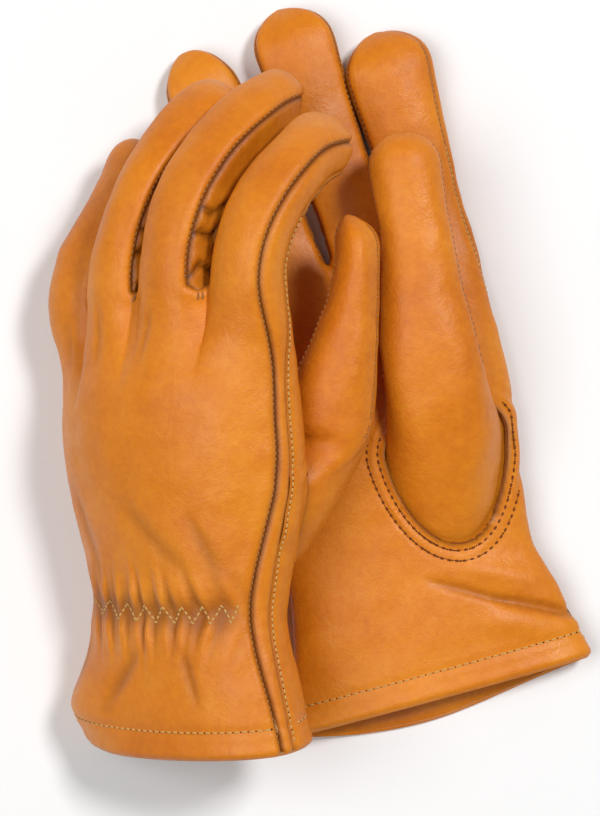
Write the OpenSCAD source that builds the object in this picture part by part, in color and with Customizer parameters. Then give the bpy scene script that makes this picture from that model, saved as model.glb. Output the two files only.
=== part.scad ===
// A pair of unlined leather work gloves. The right glove lies palm up on the table and
// the left glove lies palm down across it. Every leather panel is a thin curved shell.
// Hand frame of each glove: +X towards the thumb side, +Y towards the fingertips,
// +Z out of the back of the hand, origin at the middle of the cuff's mouth.

/* [Leather and thread] */
// Thickness of the leather
leather = 1.2; // [0.8:0.1:1.6]
// Thickness of the sewing thread as it lies on the leather
thread = 0.9; // [0.6:0.1:1.2]

/* [Hand] */
// Length from the edge of the cuff to the crotches of the fingers
hand_length = 158; // [135:1:185]
// Width of the hand with the glove pressed flat, at the knuckles
palm_width = 109; // [92:1:124]
// Width of the gathered wrist, pressed flat
wrist_width = 93; // [80:1:104]
// Width of the cuff's mouth, pressed flat
cuff_width = 110; // [94:1:128]
// Distance from the edge of the cuff to the gathered wrist line
wrist_height = 48; // [40:1:58]

/* [Fingers] */
// Length of the index finger from its crotch
index_length = 73; // [64:1:90]
// Length of the middle finger from its crotch
middle_length = 88; // [74:1:102]
// Length of the ring finger from its crotch
ring_length = 82; // [68:1:96]
// Length of the little finger from its crotch
little_length = 62; // [54:1:76]
// Girth of a finger as a share of the room that it has at the knuckles
finger_fill = 0.97; // [0.85:0.01:0.98]

/* [Thumb] */
// Length of the thumb piece from the foot of its U-shaped seam to its tip
thumb_length = 138; // [125:1:160]
// Half width of the thumb at its broad root
thumb_root = 21; // [17:0.5:23]

/* [Sewing] */
// Width of the hem that is turned in at the cuff
hem_width = 12; // [8:1:16]
// Distance from the hem's inner edge down to its row of stitches
hem_inset = 2.5; // [2:0.5:4]
// Width of the elastic tape inside the wrist
elastic_width = 9; // [6:1:12]
// Thickness of the elastic tape
elastic_thickness = 1; // [0.6:0.1:1.4]
// Distance from the thumb's seam to the first row of stitches round it
first_row = 2.4; // [1.8:0.2:4]
// Distance from the first row of stitches round the thumb to the second
row_spacing = 3.6; // [2.4:0.2:6]

/* [Fits] */
// Gap between two pieces that move past each other
move_gap = 0.35; // [0.3:0.05:0.5]
// Gap between two layers of leather that lie on each other
layer_gap = 0.1; // [0.05:0.05:0.3]

/* [Hidden] */
LEFT = 0;
RIGHT = 1;
GLOVES = ["left", "right"];
FINGERS = ["index", "middle", "ring", "little"];

HAND_NODES = [
    "back_panel", "palm_panel", "side_strip",
    "fourchette_index_middle", "fourchette_middle_ring", "fourchette_ring_little",
    "cuff_hem", "wrist_elastic", "elastic_stitching", "hem_stitching",
    "side_seam_stitching", "thumb_seam_stitching",
    "thumb_front_root", "thumb_back_root", "thumb_front_tip", "thumb_back_tip", "thumb_tip_stitching"
];
TIP_NODES = ["tip_back", "tip_palm", "tip_sides"];
NODES = [
    for (g = GLOVES) each concat(
        [for (n = HAND_NODES) str(g, "_", n)],
        [for (f = FINGERS, n = TIP_NODES) str(g, "_", f, "_", n)]
    )
];
node = "all";

// Pose of each glove, left then right: where the cuff's middle is, and its turn
// about X (pitch), Y (roll) and Z (yaw) of the row frame.
place_at = [[-42.94, -124.41], [43.06, -111.41]];
// Height of the left cuff's middle over the top of the right glove.
left_rise = 4.5;
// How far the table presses the back of the right glove flat.
pressed_flat = 1.2;
pitch = [8, 0];
roll = [-40, 0];
yaw = [5.5, 15.2];
// The right glove lies palm up, so its hand frame is mirrored through Z.
flip = [1, -1];
// A glove that lies on its back has the whole of its back on the table.
lies_flat = [0, 1];
// How far each glove is filled out: half thickness over half width.
cuff_fill = [0.47, 0.19];
wrist_fill = [0.5, 0.25];
palm_fill = [0.43, 0.27];
knuckle_fill = [0.26, 0.2];
tip_fill = [0.95, 0.58];
// How wide each finger is at its tip, against its root.
tip_spread = [[0.92, 0.92, 0.9, 0.88], [1.16, 1.04, 1.04, 0.95]];
// The back of a filled hand arches across the knuckles.
arch = [13, 0];

// Lengths, and where each crotch lies short of hand_length.
finger_length = [index_length, middle_length, ring_length, little_length];
crotch_step = [2, 0, 2, 9];
// Sideways and palmward angles of each finger at its root and at its tip.
sway_root = [[6, 5, 4, 1], [-1, -2, -5, -7]];
sway_tip = [[35, 34, 33, 26], [-1, -7, -19, -13]];
curl_root = [[0, 0, 0, 0], [0, 0, 0, 0]];
curl_tip = [[98, 88, 76, 50], [0, 0, 0, 0]];
// The middle joint of a finger as a share of the finger's length.
middle_joint = 0.5;

// Thumb: the hole in the palm that it is sewn into, as a share of the hand's half
// width and a distance from the cuff, then the line of the thumb itself.
hole_share = 0.47;
hole_reach = 0.45;
hole_middle = 84;
hole_foot = 34;
hole_crotch = 16;
thumb_at = [[23.2, 44, -18], [15.8, 54, -23.5]];
thumb_sway = [[25, -5], [8, 8]];
thumb_curl = [[15, 10], [0, 0]];
thumb_up = [[0.53, 0, 0.85], [0, 0, 1]];
thumb_tip_half_width = 12;
thumb_half_thickness = [11, 9];
// The thumb is a plain tube from here on, and bends here.
thumb_joint = 64;
thumb_lap = 4;      // how far the thumb's edge reaches in under the palm
foot_gap = 0.6;     // between the thumb's foot and the edge of the hole
stitch_end = 6;     // how far the thumb's own stitches stop short of each end of its tip

// Angles from the side line, on the hand and on the fingers, of the seams on the
// two edges of a side strip or fourchette.
hand_edge = [28, 12];
finger_edge = [34, -22];
round_power = 2.3;    // superellipse power of every cross-section
blend_back = 36;      // how far behind its crotch a finger starts to shape the hand
blend_ahead = 3;      // how far past its crotch the hand's shape still counts
// Rows and columns of cells that the shells are drawn with.
hand_rows = 12;
finger_rows = 4;
tip_rows = 3;
back_cells = 4;
side_cells = 2;
thumb_rows = 5;
thumb_cells = 10;
loft_steps = 4;
hem_cells = 30;
elastic_cells = 12;
seam_steps = 16;
// Shares of a rounded tip's length at which a ring is drawn.
tip_rings = [0.45, 0.75, 0.93, 0.998];
path_steps = 10;
zigzags = 16;

// ---- helpers -----------------------------------------------------------------
function smooth(u) = let (c = min(1, max(0, u))) c * c * (3 - 2 * c);
function mix(a, b, w) = a * (1 - w) + b * w;
function unit(v) = v / norm(v);
function rounded(c) = sign(c) * pow(abs(c), 2 / round_power);
function ring_x(a) = rounded(cos(a));
function ring_z(a) = rounded(sin(a));
// Girth of an ellipse with half width 1 and half thickness r (Ramanujan).
function girth(r) = let (h = pow((1 - r) / (1 + r), 2))
    PI * (1 + r) * (1 + 3 * h / (10 + sqrt(4 - 3 * h)));
function half_width(flat, r) = 2 * flat / girth(r);

function turn_x(v, t) = [v.x, v.y * cos(t) - v.z * sin(t), v.y * sin(t) + v.z * cos(t)];
function turn_y(v, t) = [v.x * cos(t) + v.z * sin(t), v.y, -v.x * sin(t) + v.z * cos(t)];
function turn_z(v, t) = [v.x * cos(t) - v.y * sin(t), v.x * sin(t) + v.y * cos(t), v.z];
function direction(g, v) = turn_z(turn_x(turn_y([v.x, v.y, v.z * flip[g]], roll[g]), pitch[g]), yaw[g]);
function place_height(g) = g == LEFT ? 2 * back_height(RIGHT) + left_rise : back_height(RIGHT) - pressed_flat;
// Hand frame to row frame. No leather goes below the table; depth is how far inside.
function placed(g, p, depth) = let (
    q = direction(g, p) + [place_at[g].x, place_at[g].y, place_height(g)]
) [q.x, q.y, max(q.z, depth)];

// ---- shape of the hand ---------------------------------------------------------
function hand_sections(g) = [
    for (s = [
        [0, cuff_width, cuff_fill[g]],
        [wrist_height, wrist_width, wrist_fill[g]],
        [0.68 * hand_length, palm_width, palm_fill[g]],
        [hand_length, palm_width * 0.99, knuckle_fill[g]]
    ]) let (a = half_width(s[1], s[2])) [s[0], a, a * s[2]]
];
function between(s, y, k) = let (
    i = y < s[1][0] ? 0 : y < s[2][0] ? 1 : 2,
    u = smooth((y - s[i][0]) / (s[i + 1][0] - s[i][0]))
) mix(s[i][k], s[i + 1][k], u);
function hand_half_width(g, y) = between(hand_sections(g), y, 1);
function hand_half_thick(g, y) = between(hand_sections(g), y, 2);
function back_height(g) = hand_sections(g)[2][2];
function hand_middle(g, y) = lies_flat[g] * (back_height(g) - hand_half_thick(g, y));
function hand_point(g, y, x_share, top, off) = let (
    a = hand_half_width(g, y) - off,
    b = hand_half_thick(g, y) - off,
    rise = pow(1 - pow(min(1, abs(x_share)), round_power), 1 / round_power),
    drop = arch[g] * smooth(y / hand_length) * x_share * x_share
) [x_share * a, y, hand_middle(g, y) + top * rise * b - drop];

// ---- shape of the fingers --------------------------------------------------------
function pitch_x(g) = hand_half_width(g, hand_length) / 2;
function finger_root(g, f) = let (
    y = hand_length - crotch_step[f],
    x = (1.5 - f) * pitch_x(g)
) [x, y, lies_flat[g] * (back_height(g) - finger_half_thick(g, f, 0)) - arch[g] * pow((1.5 - f) / 2, 2)];
// Direction along a finger or thumb, and out of its back, at a sway w and a curl c.
function along(w, c) = [cos(c) * sin(w), cos(c) * cos(w), -sin(c)];
function outwards(w, c) = [sin(c) * sin(w), sin(c) * cos(w), cos(c)];
function sway_at(g, f, s) = mix(sway_root[g][f], sway_tip[g][f], min(1, max(0, s / finger_length[f])));
function curl_at(g, f, s) = mix(curl_root[g][f], curl_tip[g][f], min(1, max(0, s / finger_length[f])));
function heading(g, f, s) = along(sway_at(g, f, s), curl_at(g, f, s));
function walk(g, f, s) = s <= 0 ? s * heading(g, f, 0)
    : vsum([for (k = [0 : path_steps - 1]) heading(g, f, s * (k + 0.5) / path_steps)]) * s / path_steps;
function vsum(v, i = 0) = i == len(v) - 1 ? v[i] : v[i] + vsum(v, i + 1);
function finger_half_width(g, f, s) = let (u = smooth(s / (0.9 * finger_length[f])))
    pitch_x(g) / 2 * finger_fill * mix(1, tip_spread[g][f], u);
function finger_half_thick(g, f, s) = finger_half_width(g, f, s) * tip_fill[g];
function tip_reach(g, f) = 1.05 * finger_half_width(g, f, finger_length[f]);
// Shrink of a finger's cross-section over its rounded tip.
function closing(g, f, s) = let (
    r = tip_reach(g, f),
    u = (s - (finger_length[f] - r)) / r
) u <= 0 ? 1 : sqrt(max(0.01, 1 - u * u));
function finger_point(g, f, s, a, off) = let (
    k = closing(g, f, s),
    depth = off * sqrt(1 - min(1, k * k)),
    t = heading(g, f, s),
    up = outwards(sway_at(g, f, s), curl_at(g, f, s)),
    side = cross(t, up),
    hw = (finger_half_width(g, f, s) - off) * k,
    ht = (finger_half_thick(g, f, s) - off) * k,
    lift = lies_flat[g] * (finger_half_thick(g, f, 0) - finger_half_thick(g, f, s) * k)
) finger_root(g, f) + walk(g, f, s) - depth * t + up * lift
    + side * hw * ring_x(a) + up * ht * ring_z(a);

// A point of the hand's skin at distance s past the crotch of finger f (negative on
// the hand), at angle a round that finger.
function skin_point(g, f, s, a, off) = let (
    y = hand_length - crotch_step[f] + s,
    w = smooth((s + blend_back) / (blend_back + blend_ahead)),
    top = sin(a) >= 0 ? 1 : -1
) w >= 1 ? finger_point(g, f, s, a, off)
    : mix(hand_point(g, y, share_at(g, f, a), top, off), finger_point(g, f, s, a, off), w);
// How far across the hand the skin over finger f lies at angle a.
function share_at(g, f, a) = (finger_root(g, f).x + pitch_x(g) / 2 * ring_x(a)) / (2 * pitch_x(g));
// Angle of a seam, high (0) or low (1), at distance s past the crotch.
function edge_at(k, s) = mix(hand_edge[k], finger_edge[k], smooth((s + blend_back) / blend_back));

// ---- shells --------------------------------------------------------------------------
// Closed thin shell over a grid of points, outer[i][j] and inner[i][j]. A cell that
// keep[i][j] marks false is left out, which opens a slit or a hole.
module shell(outer, inner, keep = undef, turned = false) {
    n = len(outer);
    m = len(outer[0]);
    function on(i, j) = i >= 0 && j >= 0 && i < n - 1 && j < m - 1
        && (is_undef(keep) || keep[i][j]);
    function at(i, j, low) = (i * m + j) * 2 + low;
    function quad(a, b, c, d) = [[a, b, c], [a, c, d]];
    points = [for (i = [0 : n - 1], j = [0 : m - 1]) each [outer[i][j], inner[i][j]]];
    faces = [
        for (i = [0 : n - 2], j = [0 : m - 2]) if (on(i, j)) each concat(
            quad(at(i, j, 0), at(i, j + 1, 0), at(i + 1, j + 1, 0), at(i + 1, j, 0)),
            quad(at(i, j, 1), at(i + 1, j, 1), at(i + 1, j + 1, 1), at(i, j + 1, 1)),
            on(i - 1, j) ? [] : quad(at(i, j, 1), at(i, j + 1, 1), at(i, j + 1, 0), at(i, j, 0)),
            on(i + 1, j) ? []
                : quad(at(i + 1, j, 0), at(i + 1, j + 1, 0), at(i + 1, j + 1, 1), at(i + 1, j, 1)),
            on(i, j - 1) ? [] : quad(at(i, j, 0), at(i + 1, j, 0), at(i + 1, j, 1), at(i, j, 1)),
            on(i, j + 1) ? []
                : quad(at(i, j + 1, 1), at(i + 1, j + 1, 1), at(i + 1, j + 1, 0), at(i, j + 1, 0))
        )
    ];
    polyhedron(points, turned ? faces : reversed(faces), convexity = 10);
}
function reversed(faces) = [for (f = faces) [for (k = [len(f) - 1 : -1 : 0]) f[k]]];

// Shell of a skin patch. Each row holds columns of [finger, distance, angle, sink]:
// sink is how far the inside of the leather lies back towards the cuff.
module skin(g, rows, keep = undef) {
    function point(c, off) = skin_point(g, c[0], c[1] - (off > 0 && len(c) > 3 ? c[3] : 0), c[2], off);
    function grid(off) = [for (row = rows) [for (c = row) placed(g, point(c, off), off)]];
    shell(grid(0), grid(leather), keep, flip[g] < 0);
}

// ---- leather panels ----------------------------------------------------------------
function joint_at(f) = middle_joint * finger_length[f];
function spread(a, b, n) = [for (i = [0 : n]) a + (b - a) * i / n];
function outer_edge(k, f, s) = f == 0 ? edge_at(k, s) : finger_edge[k];
function inner_edge(k, f) = f == 3 ? 180 : 180 - finger_edge[k];
function back_angles(f, s) = spread(inner_edge(0, f), outer_edge(0, f, s), back_cells);
function palm_angles(f, s) = spread(360 + outer_edge(1, f, s), inner_edge(1, f), back_cells);
// Distance past the crotch of finger f at row i, from the cuff to the middle joint.
function row_at(f, i) = i <= hand_rows ? (hand_length - crotch_step[f]) * (i / hand_rows - 1)
    : (joint_at(f) - move_gap / 2) * (i - hand_rows) / finger_rows;
panel_steps = [for (i = [0 : hand_rows + finger_rows]) i];
// The cells between two fingers are cut away past the crotch.
function between_fingers(i, j) = i >= hand_rows && (j + 1) % (back_cells + 1) == 0;

module back_panel(g) {
    rows = [for (i = panel_steps) [
        for (f = [3 : -1 : 0]) for (a = back_angles(f, row_at(f, i))) [f, row_at(f, i), a]
    ]];
    keep = [for (i = panel_steps) [for (j = [0 : len(rows[0]) - 2]) !between_fingers(i, j)]];
    color("darkorange") skin(g, rows, keep);
}

// The palm has the hole that the thumb is sewn into: a cell goes if its middle is in
// the hole, and the corners left round the hole are drawn onto the hole's edge.
function hole_height(dy) = dy < 0 ? hole_foot : hole_crotch;
function hole_radius(u, y) = norm([
    (u - hole_share) / hole_reach,
    (y - hole_middle) / hole_height(y - hole_middle)
]);
module palm_panel(g) {
    rows = [for (i = panel_steps) [
        for (f = [0 : 3]) for (a = palm_angles(f, row_at(f, i))) [f, row_at(f, i), a]
    ]];
    n = len(rows);
    m = len(rows[0]);
    flat = [for (row = rows) [for (c = row) [
        share_at(g, c[0], c[2]) + (sin(c[2]) > 0 ? 1 : 0),
        hand_length - crotch_step[c[0]] + c[1]
    ]]];
    keep = [for (i = [0 : n - 2]) [for (j = [0 : m - 2]) let (
        middle = (flat[i][j] + flat[i + 1][j] + flat[i][j + 1] + flat[i + 1][j + 1]) / 4
    ) !between_fingers(i, j) && hole_radius(middle.x, middle.y) >= 1]];
    function kept(i, j) = keep[max(0, min(n - 2, i))][max(0, min(m - 2, j))];
    function at_hole(i, j) = i < hand_rows
        && !(kept(i, j) && kept(i - 1, j) && kept(i, j - 1) && kept(i - 1, j - 1));
    function on_edge(q) = let (r = hole_radius(q.x, q.y)) [
        hole_share + (q.x - hole_share) / r,
        hole_middle + (q.y - hole_middle) / r
    ];
    function point(i, j, off) = let (q = on_edge(flat[i][j])) at_hole(i, j)
        ? hand_point(g, q.y, q.x, -1, off)
        : skin_point(g, rows[i][j][0], rows[i][j][1], rows[i][j][2], off);
    function grid(off) = [for (i = [0 : n - 1]) [
        for (j = [0 : m - 1]) placed(g, point(i, j, off), off)
    ]];
    color("darkorange") shell(grid(0), grid(leather), keep, flip[g] < 0);
}

// Narrow strip between the back and the palm, from the cuff up the index finger.
module side_strip(g) {
    color("orange") skin(g, [for (i = panel_steps) let (s = row_at(0, i)) [
        for (a = spread(edge_at(0, s), edge_at(1, s), side_cells)) [0, s, a]
    ]]);
}

// Fourchette: down one finger's side, across the crotch and up the next finger's side.
module fourchette(g, f) {
    color("peru") skin(g, concat(
        [for (i = [finger_rows : -1 : 0]) [
            for (a = spread(180 - finger_edge[0], 180 - finger_edge[1], side_cells))
                [f, (joint_at(f) - move_gap / 2) * i / finger_rows, a, i == 0 ? leather : 0]
        ]],
        [for (i = [0 : finger_rows]) [
            for (a = spread(finger_edge[0], finger_edge[1], side_cells))
                [f + 1, (joint_at(f + 1) - move_gap / 2) * i / finger_rows, a, i == 0 ? leather : 0]
        ]]
    ));
}

// Band inside the hand, from one distance from the cuff to another.
module band(g, from, to, first, last, angles) {
    function grid(off) = [for (y = [from, to]) [
        for (a = angles) placed(g, hand_point(g, y, ring_x(a), sin(a) >= 0 ? 1 : -1, off), off)
    ]];
    shell(grid(first), grid(last), undef, flip[g] < 0);
}
// Turned-in hem, one ring of leather inside the cuff.
module cuff_hem(g) {
    first = leather + layer_gap;
    color("peru") band(g, 0, hem_width, first, first + leather, spread(359.5, 0.5, hem_cells));
}
// Elastic tape that gathers the back of the wrist from inside.
module wrist_elastic(g) {
    first = leather + layer_gap;
    last = first + elastic_thickness;
    from = wrist_height - elastic_width / 2;
    color("wheat") band(g, from, from + elastic_width, first, last, spread(165, 15, elastic_cells));
}

// ---- fingertips ---------------------------------------------------------------------
function tip_stations(g, f) = let (
    from = joint_at(f) + move_gap / 2,
    round_from = finger_length[f] - tip_reach(g, f)
) concat(
    spread(from, round_from, tip_rows),
    [for (u = tip_rings) round_from + tip_reach(g, f) * u]
);
module tip_patch(g, f, angles) {
    skin(g, [for (s = tip_stations(g, f)) [for (a = angles) [f, s, a]]]);
}
module tip_back(g, f) {
    color("darkorange") tip_patch(g, f, back_angles(f, joint_at(f)));
}
module tip_palm(g, f) {
    color("darkorange") tip_patch(g, f, palm_angles(f, joint_at(f)));
}
module tip_sides(g, f) {
    color("peru") {
        tip_patch(g, f, spread(finger_edge[0], finger_edge[1], side_cells));
        if (f < 3) tip_patch(g, f, spread(180 - finger_edge[1], 180 - finger_edge[0], side_cells));
    }
}

// ---- thumb -----------------------------------------------------------------------------
function thumb_heading(g, s) = let (
    u = min(1, max(0, s / thumb_length)),
    w = mix(thumb_sway[g][0], thumb_sway[g][1], u),
    c = mix(thumb_curl[g][0], thumb_curl[g][1], u)
) along(w, c);
function thumb_walk(g, s) = s <= 0 ? s * thumb_heading(g, 0)
    : vsum([for (k = [0 : path_steps - 1]) thumb_heading(g, s * (k + 0.5) / path_steps)]) * s / path_steps;
function thumb_closing(s) = let (u = (s - (thumb_length - thumb_tip_half_width)) / thumb_tip_half_width)
    u <= 0 ? 1 : sqrt(max(0.01, 1 - u * u));
function thumb_half_width(s) = mix(thumb_root, thumb_tip_half_width, smooth((s - 25) / (0.6 * thumb_length)));
function thumb_point(g, s, a, off) = let (
    k = thumb_closing(s),
    t = thumb_heading(g, s),
    up = unit(thumb_up[g] - (thumb_up[g] * t) * t),
    side = cross(t, up),
    hw = (thumb_half_width(s) - off) * k,
    ht = (thumb_half_thickness[g] - off) * k
) thumb_at[g] + thumb_walk(g, s) - off * sqrt(1 - min(1, k * k)) * t
    + side * hw * ring_x(a) + up * ht * ring_z(a);
// The foot of the thumb runs from its lap inside the palm's hole out to the tube.
function foot_point(g, u, a) = let (
    lap = u < 0 ? thumb_lap : 0,
    x = hole_share * hand_half_width(g, hole_middle)
        + (hole_reach * hand_half_width(g, hole_middle) - foot_gap + lap) * cos(a),
    y = hole_middle + (hole_height(sin(a)) - foot_gap + lap) * sin(a),
    share = min(0.985, x / hand_half_width(g, y)),
    sunk = hand_point(g, y, share, -1, leather + layer_gap),
    out = thumb_point(g, thumb_joint - move_gap / 2, a, 0),
    swell = u * (2 - u)
) u <= 0 ? sunk : [mix(sunk.x, out.x, swell), mix(sunk.y, out.y, u), mix(sunk.z, out.z, swell)];
// Behind the thumb the leather turns back on itself, so its wall is laid off square to
// the surface there and everywhere else.
module thumb_root_piece(g, angles) {
    outer = [for (u = concat([-1], spread(0, 1, loft_steps))) [for (a = angles) foot_point(g, u, a)]];
    n = len(outer);
    m = len(outer[0]);
    function inwards(i, j) = unit(cross(
        outer[min(n - 1, i + 1)][j] - outer[max(0, i - 1)][j],
        outer[i][min(m - 1, j + 1)] - outer[i][max(0, j - 1)]
    ));
    function wall_point(i, j, off) = i == n - 1
        ? thumb_point(g, thumb_joint - move_gap / 2, angles[j], off)
        : outer[i][j] + off * inwards(i, j);
    function grid(off) = [for (i = [0 : n - 1]) [
        for (j = [0 : m - 1]) placed(g, wall_point(i, j, off), off)
    ]];
    color("darkorange") shell(grid(0), grid(leather), undef, flip[g] < 0);
}
function thumb_stations() = let (round_from = thumb_length - thumb_tip_half_width) concat(
    spread(thumb_joint + move_gap / 2, round_from, thumb_rows),
    [for (u = tip_rings) round_from + thumb_tip_half_width * u]
);
module thumb_tip_piece(g, angles) {
    function grid(off) = [for (s = thumb_stations()) [
        for (a = angles) placed(g, thumb_point(g, s, a, off), off)
    ]];
    color("darkorange") shell(grid(0), grid(leather), undef, flip[g] < 0);
}
front_angles = spread(360, 180, thumb_cells);
rear_angles = spread(180, 0, thumb_cells);

// Closed solid through rings of points.
module tube(rings, turned) {
    n = len(rings);
    m = len(rings[0]);
    points = [for (r = rings) each r];
    walls = [for (i = [0 : n - 2], j = [0 : m - 1]) each [
        [i * m + j, (i + 1) * m + (j + 1) % m, i * m + (j + 1) % m],
        [i * m + j, (i + 1) * m + j, (i + 1) * m + (j + 1) % m]
    ]];
    ends = [[for (j = [0 : m - 1]) j], [for (j = [m - 1 : -1 : 0]) (n - 1) * m + j]];
    faces = concat(walls, ends);
    polyhedron(points, turned ? reversed(faces) : faces, convexity = 6);
}

// ---- sewing -----------------------------------------------------------------------------
// Thread laid along a list of points, as a square cord.
module cord(points) {
    h = thread / 2;
    n = len(points);
    rings = [for (i = [0 : n - 1]) let (
        t = unit(points[min(n - 1, i + 1)] - points[max(0, i - 1)]),
        ref = abs(t.z) < 0.8 ? [0, 0, 1] : [1, 0, 0],
        a = unit(cross(t, ref)),
        b = cross(a, t)
    ) [for (k = [0 : 3]) points[i] + h * (cos(90 * k) * a + sin(90 * k) * b)]];
    tube(rings, true);
}
function hand_on(g, y, a) = placed(g, hand_point(g, y, ring_x(a), sin(a) >= 0 ? 1 : -1, 0), thread / 2);
module hem_stitching(g) {
    color("tan") for (half = [0, 1])
        cord([for (a = spread(180 * half + 2, 180 * half + 178, seam_steps))
            hand_on(g, hem_width - hem_inset, a)]);
}
module elastic_stitching(g) {
    color("tan") cord([for (i = [0 : 2 * zigzags])
        hand_on(g, wrist_height + (i % 2 == 0 ? -1 : 1) * elastic_width / 3, 20 + 140 * i / (2 * zigzags))]);
}
module side_seam_stitching(g) {
    color("tan") for (k = [0, 1]) cord([for (i = panel_steps) let (s = row_at(0, i))
        placed(g, skin_point(g, 0, s, edge_at(k, s), 0), thread / 2)]);
}
module thumb_seam_stitching(g) {
    color("tan") for (row = [0, 1]) cord([for (a = spread(190, 350, seam_steps)) let (
        far = first_row + row * row_spacing,
        u = hole_share + (hole_reach + far / cuff_width) * cos(a),
        y = hole_middle + (hole_foot + far) * sin(a)
    ) placed(g, hand_point(g, y, min(0.98, u), -1, 0), 0)]);
}
module thumb_tip_stitching(g) {
    from = thumb_joint + stitch_end;
    to = thumb_length - stitch_end;
    color("tan") cord([for (s = spread(from, to, seam_steps / 2)) placed(g, thumb_point(g, s, 180, 0), 0)]);
}

// ---- one module per node --------------------------------------------------------------
module glove(g) {
    function wants(name) = node == "all" || node == str(GLOVES[g], "_", name);
    if (wants("back_panel")) back_panel(g);
    if (wants("palm_panel")) palm_panel(g);
    if (wants("side_strip")) side_strip(g);
    for (f = [0 : 2])
        if (wants(str("fourchette_", FINGERS[f], "_", FINGERS[f + 1]))) fourchette(g, f);
    if (wants("cuff_hem")) cuff_hem(g);
    if (wants("wrist_elastic")) wrist_elastic(g);
    if (wants("elastic_stitching")) elastic_stitching(g);
    if (wants("hem_stitching")) hem_stitching(g);
    if (wants("side_seam_stitching")) side_seam_stitching(g);
    if (wants("thumb_seam_stitching")) thumb_seam_stitching(g);
    if (wants("thumb_front_root")) thumb_root_piece(g, front_angles);
    if (wants("thumb_back_root")) thumb_root_piece(g, rear_angles);
    if (wants("thumb_front_tip")) thumb_tip_piece(g, front_angles);
    if (wants("thumb_back_tip")) thumb_tip_piece(g, rear_angles);
    if (wants("thumb_tip_stitching")) thumb_tip_stitching(g);
    for (f = [0 : 3]) {
        if (wants(str(FINGERS[f], "_tip_back"))) tip_back(g, f);
        if (wants(str(FINGERS[f], "_tip_palm"))) tip_palm(g, f);
        if (wants(str(FINGERS[f], "_tip_sides"))) tip_sides(g, f);
    }
}

glove(LEFT);
glove(RIGHT);
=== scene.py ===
# A pair of unlined leather work gloves: the right glove lies palm up, and the left glove
# lies palm down across it. Lengths are in metres and angles in degrees.
# Hand frame of each glove: +X towards the thumb, +Y towards the fingertips, +Z out of the
# back of the hand, origin at the middle of the cuff's mouth.
import math
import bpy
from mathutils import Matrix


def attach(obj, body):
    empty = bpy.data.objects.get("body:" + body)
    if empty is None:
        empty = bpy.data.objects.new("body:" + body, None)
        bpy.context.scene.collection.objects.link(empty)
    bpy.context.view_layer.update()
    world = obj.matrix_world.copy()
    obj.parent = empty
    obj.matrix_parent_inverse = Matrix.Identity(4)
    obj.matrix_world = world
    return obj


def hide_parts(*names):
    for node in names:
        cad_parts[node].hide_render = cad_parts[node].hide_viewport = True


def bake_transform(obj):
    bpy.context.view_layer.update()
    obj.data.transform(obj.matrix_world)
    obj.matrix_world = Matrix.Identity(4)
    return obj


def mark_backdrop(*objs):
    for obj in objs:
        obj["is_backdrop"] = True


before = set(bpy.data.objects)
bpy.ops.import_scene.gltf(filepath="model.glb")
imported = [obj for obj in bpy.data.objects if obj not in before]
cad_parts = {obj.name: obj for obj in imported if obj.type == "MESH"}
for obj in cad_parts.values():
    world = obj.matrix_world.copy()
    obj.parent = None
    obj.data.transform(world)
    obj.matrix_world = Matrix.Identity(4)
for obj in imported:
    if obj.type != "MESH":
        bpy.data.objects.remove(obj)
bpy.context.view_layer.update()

from types import SimpleNamespace

import bpy
import numpy as np
from mathutils import Vector
from mathutils.bvhtree import BVHTree

# ---- camera ----
CAMERA_AT = (-0.00744, -0.01141, 1.1)
CAMERA_SENSOR = 36.0       # millimetres, along the taller side of the view
VIEW_HEIGHT = 0.2863       # what the view takes in at the table
camera_data = bpy.data.cameras.new("camera")
camera_data.sensor_width = CAMERA_SENSOR
camera_data.lens = CAMERA_SENSOR * CAMERA_AT[2] / VIEW_HEIGHT
camera_data.clip_end = 20.0
camera = bpy.data.objects.new("camera", camera_data)
camera.location = CAMERA_AT
bpy.context.collection.objects.link(camera)
bpy.context.scene.camera = camera

# ---- sizes of the gloves ----
LEATHER = 0.0012
HAND_LENGTH = 0.158        # edge of the cuff to the crotches
PALM_WIDTH = 0.109
WRIST_WIDTH = 0.093
CUFF_WIDTH = 0.110
WRIST_HEIGHT = 0.048
FINGER_LENGTH = (0.073, 0.088, 0.082, 0.062)
FINGER_FILL = 0.97
THUMB_LENGTH = 0.138
THUMB_ROOT = 0.021
THUMB_TIP = 0.012
HEM_WIDTH = 0.012
HEM_STITCH = 0.0095        # hem stitches to the edge of the cuff
ELASTIC_WIDTH = 0.009
ELASTIC_THICKNESS = 0.001
FIRST_ROW = 0.0024         # edge of the palm to the first row of stitches round the thumb
ROW_SPACING = 0.0036       # between the two rows of stitches round the thumb
CROTCH_STEP = (0.002, 0.0, 0.002, 0.009)
MIDDLE_JOINT = 0.5         # where a finger bends, as a share of its length
THUMB_JOINT = 0.064
THUMB_LAP = 0.004          # how far the thumb's foot reaches under the palm
FOOT_GAP = 0.0002
HOLE_SHARE = 0.47          # middle of the thumb's hole, as a share of the palm's half width
HOLE_REACH = 0.45          # and its reach to either side, as such a share
HOLE_MIDDLE = 0.084        # the hole's widest place to the edge of the cuff
HOLE_FOOT = 0.034          # how far the hole reaches from there to the cuff
HOLE_CROTCH = 0.016        # and to the fingers
HAND_EDGE = (30.5, 11.5)   # angles of the two seams along the side of the hand
WRIST_SWAY = (17.0, 2.0)   # how far they swing over the back at the wrist
SWAY_REACH = 0.030         # and how far from the wrist they do
FINGER_EDGE = (34.0, -22.0)
ROUND = 2.3                # power of every cross-section
BLEND_BACK = 0.036         # the hand turns into fingers from this far before a crotch
BLEND_AHEAD = 0.003        # to this far past it
PATH_STEPS = 10
FARTHEST = 0.08            # farthest distance from the thumb's hole that is looked for
HALVINGS = 14              # and how often that is halved
FOOT_LIMIT = 0.985         # the thumb's foot stays within this share of the palm's half width
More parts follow.
